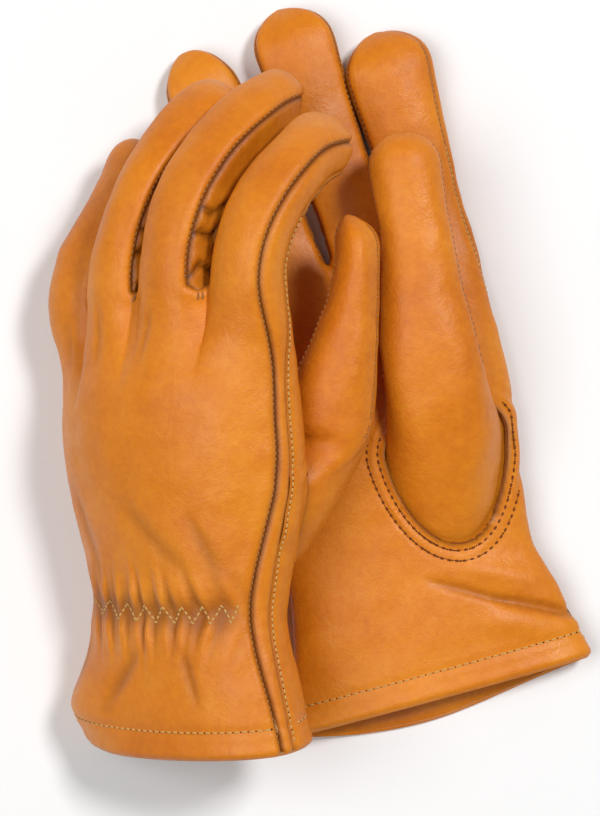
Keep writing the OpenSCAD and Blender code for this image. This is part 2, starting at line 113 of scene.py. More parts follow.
TIP_RISE = 0.6             # height of a flat finger's very tip, in its half thickness
FINGERS = ("index", "middle", "ring", "little")
INDEX, MIDDLE, RING, LITTLE = 0, 1, 2, 3

LEFT = SimpleNamespace(
    name="left", flip=1, lies_flat=0, place=(-0.04294, -0.12441),
    pitch=8.0, roll=-40.0, yaw=5.5, arch=0.013,
    cuff_fill=0.47, wrist_fill=0.5, palm_fill=0.43, knuckle_fill=0.26, tip_fill=0.95,
    tip_spread=(0.92, 0.92, 0.9, 0.88),
    sway_root=(6, 5, 4, 1), sway_tip=(35, 34, 33, 26), curl_tip=(98, 88, 76, 50),
    thumb_at=(0.0232, 0.044, -0.018), thumb_sway=(25, -5), thumb_curl=(15, 10),
    thumb_up=(0.53, 0.0, 0.85), thumb_thick=0.011,
)
RIGHT = SimpleNamespace(
    name="right", flip=-1, lies_flat=1, place=(0.04306, -0.11141),
    pitch=0.0, roll=0.0, yaw=15.2, arch=0.0,
    cuff_fill=0.19, wrist_fill=0.25, palm_fill=0.27, knuckle_fill=0.2, tip_fill=0.58,
    tip_spread=(1.25, 1.14, 1.10, 0.95),
    sway_root=(-1, -2, -5, -7), sway_tip=(-2, -6.5, -19, -13), curl_tip=(0, 0, 0, 0),
    thumb_at=(0.0158, 0.054, -0.0235), thumb_sway=(8, 8), thumb_curl=(0, 0),
    thumb_up=(0.0, 0.0, 1.0), thumb_thick=0.009,
)
LEFT_RISE = 0.0045         # how far the left glove stays clear of the right one
PRESSED_FLAT = 0.0012      # how far the right glove's back is pressed flat on the table


# ---- shape of the hand, as the design has it ----
def smooth(u):
    c = np.clip(u, 0, 1)
    return c * c * (3 - 2 * c)


def mix(a, b, w):
    return a * (1 - w) + b * w


def rounded(c):
    return np.sign(c) * np.abs(c) ** (2 / ROUND)


def ring_x(a):
    return rounded(np.cos(np.radians(a)))


def ring_z(a):
    return rounded(np.sin(np.radians(a)))


def stack(x, y, z):
    return np.stack(np.broadcast_arrays(x, y, z), axis=-1).astype(float)


def unit(v, least=1e-12):
    return v / np.maximum(np.linalg.norm(v, axis=-1, keepdims=True), least)


def half_width(flat, r):
    h = ((1 - r) / (1 + r)) ** 2
    girth = math.pi * (1 + r) * (1 + 3 * h / (10 + math.sqrt(4 - 3 * h)))
    return 2 * flat / girth


def hand_sections(g):
    rows = (
        (0.0, CUFF_WIDTH, g.cuff_fill), (WRIST_HEIGHT, WRIST_WIDTH, g.wrist_fill),
        (0.68 * HAND_LENGTH, PALM_WIDTH, g.palm_fill),
        (HAND_LENGTH, PALM_WIDTH * 0.99, g.knuckle_fill),
    )
    return [(y, half_width(w, r), half_width(w, r) * r) for y, w, r in rows]


def between(g, y, k):
    s = g.sections
    steps = [mix(s[i][k], s[i + 1][k], smooth((y - s[i][0]) / (s[i + 1][0] - s[i][0]))) for i in range(3)]
    return np.where(y < s[1][0], steps[0], np.where(y < s[2][0], steps[1], steps[2]))


def hand_half_width(g, y):
    return between(g, y, 1)


def hand_half_thick(g, y):
    return between(g, y, 2)


def hand_point(g, y, share, top, off):
    a = hand_half_width(g, y) - off
    b = hand_half_thick(g, y) - off
    x = np.clip(share, -1, 1)
    rise = (1 - np.abs(x) ** ROUND) ** (1 / ROUND)
    middle = g.lies_flat * (g.back_height - hand_half_thick(g, y))
    drop = g.arch * smooth(y / HAND_LENGTH) * share * share
    return stack(share * a, y, middle + top * rise * b - drop)


for g in (LEFT, RIGHT):
    g.sections = hand_sections(g)
    g.back_height = g.sections[2][2]
    g.pitch_x = float(hand_half_width(g, HAND_LENGTH)) / 2
RIGHT.height = RIGHT.back_height - PRESSED_FLAT
LEFT.height = 2 * RIGHT.back_height + LEFT_RISE


def turned(v, t, i, j):
    """v turned by t degrees in the plane of its components i and j."""
    out = v.copy()
    c, s = math.cos(math.radians(t)), math.sin(math.radians(t))
    out[..., i] = v[..., i] * c - v[..., j] * s
    out[..., j] = v[..., i] * s + v[..., j] * c
    return out


def direction(g, v):
    v = v * np.array([1, 1, g.flip])
    return turned(turned(turned(v, g.roll, 2, 0), g.pitch, 1, 2), g.yaw, 0, 1)


def placed(g, p, depth=0.0):
    """Hand frame to row frame; no leather goes below the table."""
    q = direction(g, p) + np.array([g.place[0], g.place[1], g.height])
    q[..., 2] = np.maximum(q[..., 2], depth)
    return q


# ---- shape of the fingers ----
def finger_half_width(g, f, s):
    return g.pitch_x / 2 * FINGER_FILL * mix(1, g.tip_spread[f], smooth(s / (0.9 * FINGER_LENGTH[f])))


def finger_half_thick(g, f, s):
    return finger_half_width(g, f, s) * g.tip_fill


def finger_root(g, f):
    thick = float(finger_half_thick(g, f, 0.0))
    return np.array([
        (1.5 - f) * g.pitch_x,
        HAND_LENGTH - CROTCH_STEP[f],
        g.lies_flat * (g.back_height - thick) - g.arch * ((1.5 - f) / 2) ** 2,
    ])


def along(w, c):
    w, c = np.radians(w), np.radians(c)
    return stack(np.cos(c) * np.sin(w), np.cos(c) * np.cos(w), -np.sin(c))


def outwards(w, c):
    w, c = np.radians(w), np.radians(c)
    return stack(np.sin(c) * np.sin(w), np.sin(c) * np.cos(w), np.cos(c))


def bend_at(g, f, s):
    u = np.clip(s / FINGER_LENGTH[f], 0, 1)
    return mix(g.sway_root[f], g.sway_tip[f], u), g.curl_tip[f] * u


def walk(heading, s):
    """Distance s along a path whose heading is known."""
    forward = np.maximum(s, 0)
    total = sum(heading(forward * (k + 0.5) / PATH_STEPS) for k in range(PATH_STEPS))
    return total * forward[..., None] / PATH_STEPS + heading(np.zeros_like(s)) * np.minimum(s, 0)[..., None]


def tip_reach(g, f):
    return 1.05 * float(finger_half_width(g, f, FINGER_LENGTH[f]))


def closing(u):
    return np.sqrt(np.clip(1 - np.clip(u, 0, 1) ** 2, 0, 1))


def finger_point(g, f, s, a, off=0.0):
    s, a = np.broadcast_arrays(np.asarray(s, float), np.asarray(a, float))
    reach = tip_reach(g, f)
    k = closing((s - (FINGER_LENGTH[f] - reach)) / reach)
    t = along(*bend_at(g, f, s))
    up = outwards(*bend_at(g, f, s))
    side = np.cross(t, up)
    wide = (finger_half_width(g, f, s) - off) * k * ring_x(a)
    high = (finger_half_thick(g, f, s) - off) * k * ring_z(a)
    raised = np.sqrt(k * k + TIP_RISE ** 2 * (1 - k * k))
    lift = g.lies_flat * (finger_half_thick(g, f, 0) - finger_half_thick(g, f, s) * raised)
    path = walk(lambda d: along(*bend_at(g, f, d)), s)
    depth = off * np.sqrt(1 - k * k)
    return (finger_root(g, f) + path - depth[..., None] * t + up * (lift + high)[..., None]
            + side * wide[..., None])


def share_at(g, f, a):
    return (finger_root(g, f)[0] + g.pitch_x / 2 * ring_x(a)) / (2 * g.pitch_x)


def edge_at(k, s):
    """Angle of a seam at distance s past the crotch."""
    sway = WRIST_SWAY[k] * np.exp(-((HAND_LENGTH + s - WRIST_HEIGHT) / SWAY_REACH) ** 2)
    return mix(HAND_EDGE[k], FINGER_EDGE[k], smooth((s + BLEND_BACK) / BLEND_BACK)) + sway


def skin_point(g, f, s, a, off=0.0):
    s, a = np.broadcast_arrays(np.asarray(s, float), np.asarray(a, float))
    y = HAND_LENGTH - CROTCH_STEP[f] + s
    w = smooth((s + BLEND_BACK) / (BLEND_BACK + BLEND_AHEAD))[..., None]
    top = np.where(np.sin(np.radians(a)) >= 0, 1, -1)
    return mix(hand_point(g, y, share_at(g, f, a), top, off), finger_point(g, f, s, a, off), w)


# ---- shape of the thumb ----
def thumb_bend(g, s):
    u = np.clip(s / THUMB_LENGTH, 0, 1)
    return mix(*g.thumb_sway, u), mix(*g.thumb_curl, u)


def thumb_half_width(s):
    return mix(THUMB_ROOT, THUMB_TIP, smooth((s - 0.025) / (0.6 * THUMB_LENGTH)))


def thumb_point(g, s, a, off=0.0):
    s, a = np.broadcast_arrays(np.asarray(s, float), np.asarray(a, float))
    k = closing((s - (THUMB_LENGTH - THUMB_TIP)) / THUMB_TIP)
    t = along(*thumb_bend(g, s))
    up = unit(np.array(g.thumb_up) - t * (t @ np.array(g.thumb_up))[..., None])
    side = np.cross(t, up)
    wide = (thumb_half_width(s) - off) * k * ring_x(a)
    high = (g.thumb_thick - off) * k * ring_z(a)
    path = walk(lambda d: along(*thumb_bend(g, d)), s)
    depth = off * np.sqrt(1 - k * k)
    return np.array(g.thumb_at) + path - depth[..., None] * t + side * wide[..., None] + up * high[..., None]


def hole_height(dy):
    return np.where(dy < 0, HOLE_FOOT, HOLE_CROTCH)


def hole_width(g):
    return float(hand_half_width(g, np.array(HOLE_MIDDLE)))


def hole_radius(share, y):
    return np.hypot((share - HOLE_SHARE) / HOLE_REACH, (y - HOLE_MIDDLE) / hole_height(y - HOLE_MIDDLE))


def hole_ring(g, a, far):
    """Share of the width and distance from the cuff, round the thumb's hole and that far outside it."""
    ca, sa = np.cos(np.radians(a)), np.sin(np.radians(a))
    return HOLE_SHARE + (HOLE_REACH + far / hole_width(g)) * ca, HOLE_MIDDLE + (hole_height(sa) + far) * sa


def hole_distance(g, share, y):
    """How far a point of the palm lies outside the thumb's hole."""
    low, high = np.zeros_like(y), np.full_like(y, FARTHEST)
    for _ in range(HALVINGS):
        d = (low + high) / 2
        across_hole = (share - HOLE_SHARE) / (HOLE_REACH + d / hole_width(g))
        outside = np.hypot(across_hole, (y - HOLE_MIDDLE) / (hole_height(y - HOLE_MIDDLE) + d)) > 1
        low, high = np.where(outside, d, low), np.where(outside, high, d)
    return low


def foot_point(g, u, a, off=0.0):
    """The foot of the thumb, from its lap under the palm (u below 0) out to the thumb's tube (u 1)."""
    u, a = np.broadcast_arrays(np.asarray(u, float), np.asarray(a, float))
    ca, sa = np.cos(np.radians(a)), np.sin(np.radians(a))
    lap = THUMB_LAP * np.clip(-u, 0, 1)
    y = HOLE_MIDDLE + (hole_height(sa) - FOOT_GAP + lap) * sa
    share = np.minimum(FOOT_LIMIT, HOLE_SHARE + (HOLE_REACH + (lap - FOOT_GAP) / hole_width(g)) * ca)
    sunk = hand_point(g, y, share, -1, LEATHER + off)
    out = thumb_point(g, np.full_like(u, THUMB_JOINT), a, off)
    v = np.clip(u, 0, 1)
    swell = v * (2 - v)
    return mix(sunk, out, np.stack([swell, v, swell], axis=-1))


# ---- finishes ----
def new_finish(name, roughness=0.5, specular=0.5):
    finish = bpy.data.materials.new(name)
    finish.use_nodes = True
    tree = finish.node_tree
    shader = tree.nodes["Principled BSDF"]
    shader.inputs["Roughness"].default_value = roughness
    shader.inputs["Specular IOR Level"].default_value = specular
    place = tree.nodes.new("ShaderNodeTexCoord").outputs["Object"]
    return finish, tree, shader, place


def noise(tree, place, scale, detail=3.0, rough=0.55, distortion=0.0):
    node = tree.nodes.new("ShaderNodeTexNoise")
    node.inputs["Scale"].default_value = scale
    node.inputs["Detail"].default_value = detail
    node.inputs["Roughness"].default_value = rough
    node.inputs["Distortion"].default_value = distortion
    tree.links.new(place, node.inputs["Vector"])
    return node.outputs["Fac"]


def ramp(tree, value, *stops):
    node = tree.nodes.new("ShaderNodeValToRGB")
    while len(node.color_ramp.elements) < len(stops):
        node.color_ramp.elements.new(0.5)
    for element, (at, colour) in zip(node.color_ramp.elements, stops):
        element.position = at
        element.color = (*colour, 1.0)
    tree.links.new(value, node.inputs["Fac"])
    return node.outputs["Color"]


def tint(tree, mode, share, base, top):
    """top laid over base; share, base and top are sockets or values."""
    node = tree.nodes.new("ShaderNodeMix")
    node.data_type = "RGBA"
    node.blend_type = mode
    for socket, value in (("Factor", share), ("A", base), ("B", top)):
        target = [i for i in node.inputs if i.name == socket and i.enabled][0]
        if isinstance(value, bpy.types.NodeSocket):
            tree.links.new(value, target)
        else:
            target.default_value = value if socket == "Factor" else (*value, 1.0)
    return [o for o in node.outputs if o.enabled][0]


def spread_to(tree, value, low, high, from_low=0.0, from_high=1.0):
    node = tree.nodes.new("ShaderNodeMapRange")
    tree.links.new(value, node.inputs["Value"])
    node.inputs["From Min"].default_value = from_low
    node.inputs["From Max"].default_value = from_high
    node.inputs["To Min"].default_value = low
    node.inputs["To Max"].default_value = high
    return node.outputs["Result"]


def bump(tree, height, distance, strength=1.0, under=None):
    node = tree.nodes.new("ShaderNodeBump")
    node.inputs["Distance"].default_value = distance
    node.inputs["Strength"].default_value = strength
    tree.links.new(height, node.inputs["Height"])
    if under is not None:
        tree.links.new(under, node.inputs["Normal"])
    return node.outputs["Normal"]


def attribute(tree, name):
    node = tree.nodes.new("ShaderNodeAttribute")
    node.attribute_name = name
    return node.outputs["Fac"]


def dress(tree, colour, relief):
    shader = tree.nodes["Principled BSDF"]
    tree.links.new(colour, shader.inputs["Base Color"])
    tree.links.new(relief, shader.inputs["Normal"])


def banded(tree, place, way, scale, distortion):
    node = tree.nodes.new("ShaderNodeTexWave")
    node.bands_direction = way
    node.inputs["Scale"].default_value = scale
    node.inputs["Distortion"].default_value = distortion
    tree.links.new(place, node.inputs["Vector"])
    return node.outputs["Fac"]


TAN = (0.70, 0.205, 0.0065)
TAN_DEEP = (0.60, 0.155, 0.0045)
TAN_PALE = (0.77, 0.255, 0.013)
# deep brown that the leather darkens to where shade is painted
PAINTED_SHADE_BROWN = (0.085, 0.017, 0.0015)


def tanned_leather():
    finish, tree, shader, place = new_finish("tanned_leather", specular=0.34)
    mottled = ramp(tree, noise(tree, place, 26.0, 5.0, 0.6), (0.3, TAN_DEEP), (0.5, TAN), (0.72, TAN_PALE))
    specks = ramp(tree, noise(tree, place, 420.0, 4.0, 0.65), (0.3, (0.3, 0.3, 0.3)), (0.7, (0.7, 0.7, 0.7)))
    speckled = tint(tree, "OVERLAY", 0.22, mottled, specks)
    # Painted shade: the colour darkens towards deep brown in creases, pleat valleys, seams, the slits between
    # fingers and inside the cuff.
    folded = tint(tree, "MIX", spread_to(tree, attribute(tree, "fold"), 0.0, 0.9), speckled, PAINTED_SHADE_BROWN)
    # Painted highlight: the colour lightens towards pale tan on the crests of folds and pleats.
    with_painted_light = tint(tree, "MIX", spread_to(tree, attribute(tree, "painted_highlight"), 0.0, 0.45), folded, TAN_PALE)
    gloss = spread_to(tree, noise(tree, place, 60.0, 4.0, 0.6), 0.36, 0.54, 0.3, 0.7)
    tree.links.new(gloss, shader.inputs["Roughness"])
    shader.inputs["Coat Weight"].default_value = 0.06
    shader.inputs["Coat Roughness"].default_value = 0.42
    pores = tree.nodes.new("ShaderNodeTexVoronoi")
    pores.feature = "SMOOTH_F1"
    pores.inputs["Scale"].default_value = 1150.0
    pores.inputs["Smoothness"].default_value = 0.35
    tree.links.new(place, pores.inputs["Vector"])
    creased = bump(tree, noise(tree, place, 170.0, 6.0, 0.65, 0.7), 0.0007, 0.5)
    grained = bump(tree, pores.outputs["Distance"], 0.00016, 0.45, creased)
    dress(tree, with_painted_light, bump(tree, noise(tree, place, 2600.0, 2.0), 0.00005, 0.5, grained))
    return finish


def suede_side():
    """The flesh side of the leather, which is the inside of the glove."""
    finish, tree, shader, place = new_finish("suede_side", 0.95, 0.15)
    nap = noise(tree, place, 900.0, 5.0, 0.7)
    shader.inputs["Sheen Weight"].default_value = 0.25
    shader.inputs["Sheen Roughness"].default_value = 0.6
    colour = ramp(tree, nap, (0.3, (0.34, 0.15, 0.045)), (0.7, (0.62, 0.33, 0.13)))
    dress(tree, colour, bump(tree, nap, 0.0003, 0.7))
    return finish


def raw_edge():
    """The cut edge of the leather, stained dark and a little fuzzy."""
    finish, tree, _, place = new_finish("raw_edge", 0.9, 0.2)
    fibre = noise(tree, place, 1600.0, 4.0, 0.7)
    colour = ramp(tree, fibre, (0.3, (0.17, 0.045, 0.006)), (0.75, (0.42, 0.15, 0.03)))
    dress(tree, colour, bump(tree, fibre, 0.0002, 0.8))
    return finish


def waxed_thread(name, colour):
    finish, tree, _, place = new_finish(name, 0.7, 0.2)
    ply = banded(tree, place, "DIAGONAL", 700.0, 1.5)
    dark = tuple(c * 0.62 for c in colour)
    dress(tree, ramp(tree, ply, (0.1, dark), (0.7, colour)), bump(tree, ply, 0.0001, 0.6))
    return finish


# Dark dots at the needle holes: painted shade inside the holes.
def needle_hole_shade():
    finish, tree, shader, place = new_finish("needle_hole_shade", 0.85, 0.1)
    shade = ramp(tree, noise(tree, place, 900.0), (0.3, (0.06, 0.015, 0.003)), (0.7, (0.14, 0.035, 0.006)))
    tree.links.new(shade, shader.inputs["Base Color"])
    return finish


def woven_elastic():
    finish, tree, _, place = new_finish("woven_elastic", 0.85)
    rib = banded(tree, place, "Y", 320.0, 0.6)
    colour = ramp(tree, rib, (0.2, (0.42, 0.33, 0.22)), (0.8, (0.70, 0.60, 0.45)))
    dress(tree, colour, bump(tree, rib, 0.0002, 0.7))
    return finish


GRAIN = tanned_leather()
SUEDE = suede_side()
EDGE = raw_edge()
THREAD = waxed_thread("golden_thread", (0.74, 0.45, 0.15))
# The golden thread darkened as painted shade, for the stitches that lie in seams and along the thumb.
THREAD_IN_SHADE = waxed_thread("thread_in_painted_shade", (0.42, 0.175, 0.05))
THREAD_BROWN = waxed_thread("brown_thread", (0.21, 0.055, 0.010))
NEEDLE_HOLE_SHADE = needle_hole_shade()
ELASTIC = woven_elastic()

# ---- leather pieces ----
CELL = 0.0013              # size of a cell of the leather's surface
SPLIT_BACK = 0.008         # a fingertip's pieces start this far short of its bend
TURN_OVER = 0.022          # and where a tip piece's turn with the tip would end, past that start; worked out but not used
SEAM_DIP = 0.0013          # how deep a seam draws the leather in
SEAM_REACH = 0.0008        # and how far from the seam
WELT = 0.0005              # height of the swell beside a seam
WELT_AT = 0.0030
CROTCH_DIP = 0.0018        # how far the foot of a slit between fingers is rounded
GAP_CELLS = 5
FINGER_CELLS = 22
THUMB_CELLS = 44
STRIP_CELLS = 9
STRIP_SWELL = 0.00035
FLAT_SEAM = 0.4            # share of a full seam where the strip is top-stitched flat on the palm
GUSSET_SWELL = -0.0009     # the strips between fingers sink in
GUSSET_SHADE = 0.22
ROUND_ROWS = 12            # rows of cells round the end of a finger
HAND_ROWS = round(HAND_LENGTH / CELL)
FINGER_ROWS = round(0.03 / CELL)
HEM_RADIUS = 0.0014        # of the fold at the edge of the cuff
FOLD_DEPTH = 0.004         # and how much of the cuff counts as that fold
SAME_PLACE = 0.00002       # points nearer together than this are one
SMOOTH_ANGLE = math.radians(55)
FIXED = np.zeros((1, 1))   # an angle that doesn't vary along the rows is laid on this


def split_at(f):
    return MIDDLE_JOINT * FINGER_LENGTH[f] - SPLIT_BACK


def across(points, axis):
    """Distance along the grid's axis from its start."""
    step = np.linalg.norm(np.diff(points, axis=axis), axis=-1)
    start = np.zeros_like(np.take(step, [0], axis=axis))
    return np.concatenate([start, np.cumsum(step, axis=axis)], axis=axis)


def hill(d, at, reach):
    return np.exp(-((d - at) / reach) ** 2)


def seam(d, strength=1.0):
    """Draw-in and swell of the leather at distance d from a seam."""
    return strength * (WELT * hill(d, WELT_AT, 0.0018) - SEAM_DIP * hill(d, 0, SEAM_REACH))


WAVES = np.random.default_rng(7)
WAVE_TURNS = WAVES.normal(size=(14, 3))
WAVE_TURNS /= np.linalg.norm(WAVE_TURNS, axis=1, keepdims=True)
WAVE_SHIFTS = WAVES.uniform(0, 2 * math.pi, 14)


def rumple(points, size):
    """Soft unevenness between about -1 and 1, with bumps of about that size."""
    phase = points @ WAVE_TURNS.T * (2 * math.pi / (2 * size)) * np.linspace(0.7, 1.4, 14) + WAVE_SHIFTS
    return np.sin(phase).sum(axis=-1) / 4.5


def unevenness(points):
    return 0.00030 * rumple(points, 0.016) + 0.00013 * rumple(points, 0.006)


def crease(flat, start, end, width, depth):
    """A fold in the leather from start to end, in the flat hand's X and Y."""
    start, end = np.array(start), np.array(end)
    line = end - start
    t = np.clip(((flat - start) @ line) / (line @ line), 0, 1)
    d = np.linalg.norm(flat - start - t[..., None] * line, axis=-1)
    return depth * hill(d, 0, width) * np.sqrt(np.sin(math.pi * np.clip(t, 0.04, 0.96)))


def folded(height, shade, flat, folds, darkening, darkest):
    """Height and shade with the folds added; a fold that deep is fully dark."""
    for start, end, width, depth in folds:
        f = crease(flat, start, end, width, depth)
        height = height + f
        shade = shade + np.clip(-f / darkening, -0.3, darkest)
    return height, shade


def seam_shade(d, strength=1.0):
    return strength * 0.95 * hill(d, 0, 0.0009)


def rolled(d, radius):
    """How far an edge at distance d is rolled in, round that radius."""
    return -radius * (1 - np.sqrt(np.clip(1 - np.clip(1 - d / radius, 0, 1) ** 2, 0, 1)))


def hem_shape(d):
    """The hem's rolled lip and the dip along its stitches, at distance d from the cuff's edge."""
    return rolled(d, HEM_RADIUS) + 0.0006 * hill(d, 0.0024, 0.0018) - 0.0006 * hill(d, HEM_STITCH, 0.0011)


def narrow_shape(cols, rows, swell, rucks=(), far_edge=1.0):
    """Shape and shade of a narrow strip: its middle swells out or sinks in, its edges are drawn in."""
    arch = np.sin(math.pi * cols / np.maximum(cols[:, -1:], 1e-6))
    height, shade = swell * arch, np.zeros_like(cols)
    for edge, strength in ((cols, 1.0), (cols[:, -1:] - cols, far_edge)):
        height = height - strength * SEAM_DIP * hill(edge, 0, SEAM_REACH)
        shade = shade + seam_shade(edge, strength)
    from_crotch = np.abs(rows - rows[-1:] / 2) + 0.0014 * np.sin(cols * 700 + rows * 160)
    for at, depth in rucks:
        fold = hill(from_crotch, at, 0.0013) - 0.5 * hill(from_crotch - at, 0.0035, 0.0022)
        height = height - depth * fold * np.sqrt(arch)
        shade = shade + np.clip(fold, 0, 1) * 0.7
    return height, shade


def facing(points):
    return unit(np.cross(np.gradient(points, axis=0), np.gradient(points, axis=1)))


def normals(outer, inner):
    """Outward normals, and whether rows by columns face outwards."""
    n = facing(outer)
    way = np.sign(np.sum(n * (outer - inner), axis=-1).sum())
    return n * way, way


def pushed(points, pushes):
    """The glove's soft swells and dents, which are no part of its pattern."""
    out = points.copy()
    for centre, reach, shift in pushes:
        d = np.linalg.norm((points - np.array(centre)) / np.array(reach), axis=-1)
        out += np.exp(-d * d)[..., None] * np.array(shift)
    return out


def laid(g, grid, normal, height, pushes=(), closed=False, depth=0.0):
    """The grid where its glove lies, swelled along its normals; its last row may close to a point."""
    points = pushed(placed(g, grid, depth) + direction(g, normal * height[..., None]), g.pushes + pushes)
    if closed:
        points[-1] = points[-1].mean(axis=0)
    points[..., 2] = np.maximum(points[..., 2], depth * 0.5)
    return points


def fold_over(g, piece):
    """The cuff's edge is folded, so no cut edge shows there."""
    mouth = Vector(placed(g, np.zeros(3), -1.0))
    along_hand = Vector(direction(g, np.array([0.0, 1.0, 0.0])))
    for face in piece.data.polygons:
        if face.material_index == 2 and (face.center - mouth).dot(along_hand) < FOLD_DEPTH:
            face.material_index = 0


def leather(name, points, way, fold=None, keep=None, thick=LEATHER, finishes=None, flat=None):
    """A leather piece over a grid of points of its grain side."""
    n, m = points.shape[:2]
    bpy.ops.object.select_all(action="DESELECT")
    bpy.ops.mesh.primitive_grid_add(x_subdivisions=m - 1, y_subdivisions=n - 1, size=0.1)
    piece = bpy.context.object
    piece.name = name
    mesh = piece.data
    mesh.name = name
    mesh.vertices.foreach_set("co", points.reshape(-1).astype(np.float32))
    fold = np.zeros((n, m)) if fold is None else fold
    # The first attribute holds painted shade (darkening in creases, pleat valleys, seams, slits and inside
    # the cuff); the second, from the negative part, a painted highlight on crests.
    for label, value in (("fold", np.clip(fold, 0, 1)), ("painted_highlight", np.clip(-fold, 0, 1))):
        layer = mesh.attributes.new(label, "FLOAT", "POINT")
        layer.data.foreach_set("value", value.reshape(-1).astype(np.float32))
    flat = points[..., :2] if flat is None else flat
    corner = np.zeros(len(mesh.loops), int)
    mesh.loops.foreach_get("vertex_index", corner)
    mesh.uv_layers[0].data.foreach_set("uv", flat.reshape(-1, 2)[corner].reshape(-1).astype(np.float32))
    mesh.update()
    bpy.ops.object.mode_set(mode="EDIT")
    bpy.ops.mesh.select_mode(type="FACE")
    if keep is not None:
        bpy.ops.object.mode_set(mode="OBJECT")
        mesh.polygons.foreach_set("select", ~keep.reshape(-1))
        bpy.ops.object.mode_set(mode="EDIT")
        bpy.ops.mesh.delete(type="FACE")
    bpy.ops.mesh.select_all(action="SELECT")
    bpy.ops.mesh.remove_doubles(threshold=SAME_PLACE)
    bpy.ops.mesh.select_all(action="SELECT")
    if way > 0:
        bpy.ops.mesh.flip_normals()
    bpy.ops.object.mode_set(mode="OBJECT")
    for finish in finishes or (GRAIN, SUEDE, EDGE):
        mesh.materials.append(finish)
    wall = piece.modifiers.new("wall", "SOLIDIFY")
    wall.thickness = thick
    wall.offset = -1.0
    wall.material_offset = 1
    wall.material_offset_rim = 2
    bpy.ops.object.modifier_apply(modifier=wall.name)
    bpy.ops.object.shade_smooth_by_angle(angle=SMOOTH_ANGLE)
    return piece


def with_hand(g, piece):
    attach(piece, f"{g.name}_hand")


def with_finger(g, f, piece):
    """Bakes the fingertip piece where it lies; where its turn with the tip would start and end is worked out
    but not used.
    """
    s = np.array(split_at(f))
    start = placed(g, (finger_point(g, f, s, 0.0) + finger_point(g, f, s, 180.0)) / 2)
    end = start + direction(g, along(*bend_at(g, f, s))) * TURN_OVER
    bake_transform(piece)


def hand_rows(f):
    """Distances past the crotch of finger f, from the cuff to where its tip pieces start."""
    hand = (HAND_LENGTH - CROTCH_STEP[f]) * (np.arange(HAND_ROWS + 1) / HAND_ROWS - 1)
    return np.concatenate([hand, split_at(f) * np.arange(1, FINGER_ROWS + 1) / FINGER_ROWS])


def flat_place(g, f, s, a):
    """X and Y of a point of the skin on the flat hand."""
    y = HAND_LENGTH - CROTCH_STEP[f] + s
    x = share_at(g, f, a) * hand_half_width(g, y)
    return np.stack(np.broadcast_arrays(x, y), axis=-1)


def panel(g, order, angles_of):
    """Grid over the hand and the four fingers as far as their tip pieces.
    Columns between fingers are filled in; they are cut away past the crotch."""
    blocks, insides, flats, finger, slit = [], [], [], [], []
    for k, f in enumerate(order):
        s = hand_rows(f)[:, None]
        a = angles_of(f, s)
        outer, inner, flat = skin_point(g, f, s, a), skin_point(g, f, s, a, LEATHER), flat_place(g, f, s, a)
        if k:
            for j in range(1, GAP_CELLS):
                w = j / GAP_CELLS
                dip = CROTCH_DIP * math.sin(math.pi * w) * smooth((hand_rows(f) + 0.012) / 0.012)
                back = np.zeros_like(outer[:, 0])
                back[:, 1] = -dip
                blocks.append((mix(last[0], outer[:, 0], w) + back)[:, None])
                insides.append((mix(last[1], inner[:, 0], w) + back)[:, None])
                flats.append(mix(last[2], flat[:, 0], w)[:, None])
            finger += [-1] * (GAP_CELLS - 1)
            slit += [True] * GAP_CELLS
        blocks.append(outer)
        insides.append(inner)
        flats.append(flat)
        finger += [f] * a.shape[1]
        slit += [False] * (a.shape[1] - 1)
        last = (outer[:, -1], inner[:, -1], flat[:, -1])
    outer, inner, flat = (np.concatenate(b, axis=1) for b in (blocks, insides, flats))
    keep = np.ones((outer.shape[0] - 1, outer.shape[1] - 1), bool)
    keep[HAND_ROWS:, np.array(slit)] = False
    return SimpleNamespace(outer=outer, inner=inner, flat=flat, keep=keep, finger=np.array(finger))


def slit_sides(sheet, f):
    """Columns of a finger, and which of its two sides lie along a slit."""
    cols = np.where(sheet.finger == f)[0]
    inside = (cols[0] > 0, cols[-1] < sheet.outer.shape[1] - 1)
    return cols, [side for side in (0, 1) if inside[side]]


def slit_distance(sheet):
    """Distance of every point from the sides and the foot of the nearest slit between fingers."""
    n, m = sheet.outer.shape[:2]
    d = np.full((n, m), 1.0)
    below = np.maximum(HAND_ROWS - np.arange(n), 0)[:, None] * CELL
    for f in range(4):
        cols, sides = slit_sides(sheet, f)
        run = across(sheet.outer[:, cols], 1)
        for side in sides:
            d[:, cols] = np.minimum(d[:, cols], np.hypot(run[:, -1:] - run if side else run, below))
    gap = sheet.finger < 0
    d[:, gap] = np.minimum(d[:, gap], below)
    return d


WIDE_PLEAT, NARROW_PLEAT = 0.0078, 0.0047    # from pleat to pleat
HALF_TAPE = 0.005                            # the pleats are fullest this far from the tape's middle


def gathers(g, flat):
    """Pleats that the elastic draws into the back of the wrist, above and below it."""
    x, y = flat[..., 0], flat[..., 1] - WRIST_HEIGHT
    away = np.abs(y)
    fan = x * (1 + 0.012 / 0.05 * away / 0.02)
    pleat = np.sin(2 * math.pi * fan / WIDE_PLEAT + 1.2 * np.sin(x * 160) + 0.5)
    pleat += 0.5 * np.sin(2 * math.pi * fan / NARROW_PLEAT + 2 * np.sin(x * 90 + 1) + np.sign(y) * 0.8)
    fade = np.where(away < HALF_TAPE, 0.5 + 0.5 * away / HALF_TAPE, hill(away, HALF_TAPE, 0.0085))
    across_wrist = smooth((hand_half_width(g, flat[..., 1]) - np.abs(x)) / 0.012)
    return g.gather * across_wrist * (0.00055 * pleat * fade - 0.0016 * hill(away, 0, 0.0055))


# ---- the panels of the hand ----
def outer_edge(k, f, s):
    return edge_at(k, s) if f == INDEX else np.full_like(s, FINGER_EDGE[k])


def inner_edge(k, f):
    return 180.0 if f == LITTLE else 180.0 - FINGER_EDGE[k]


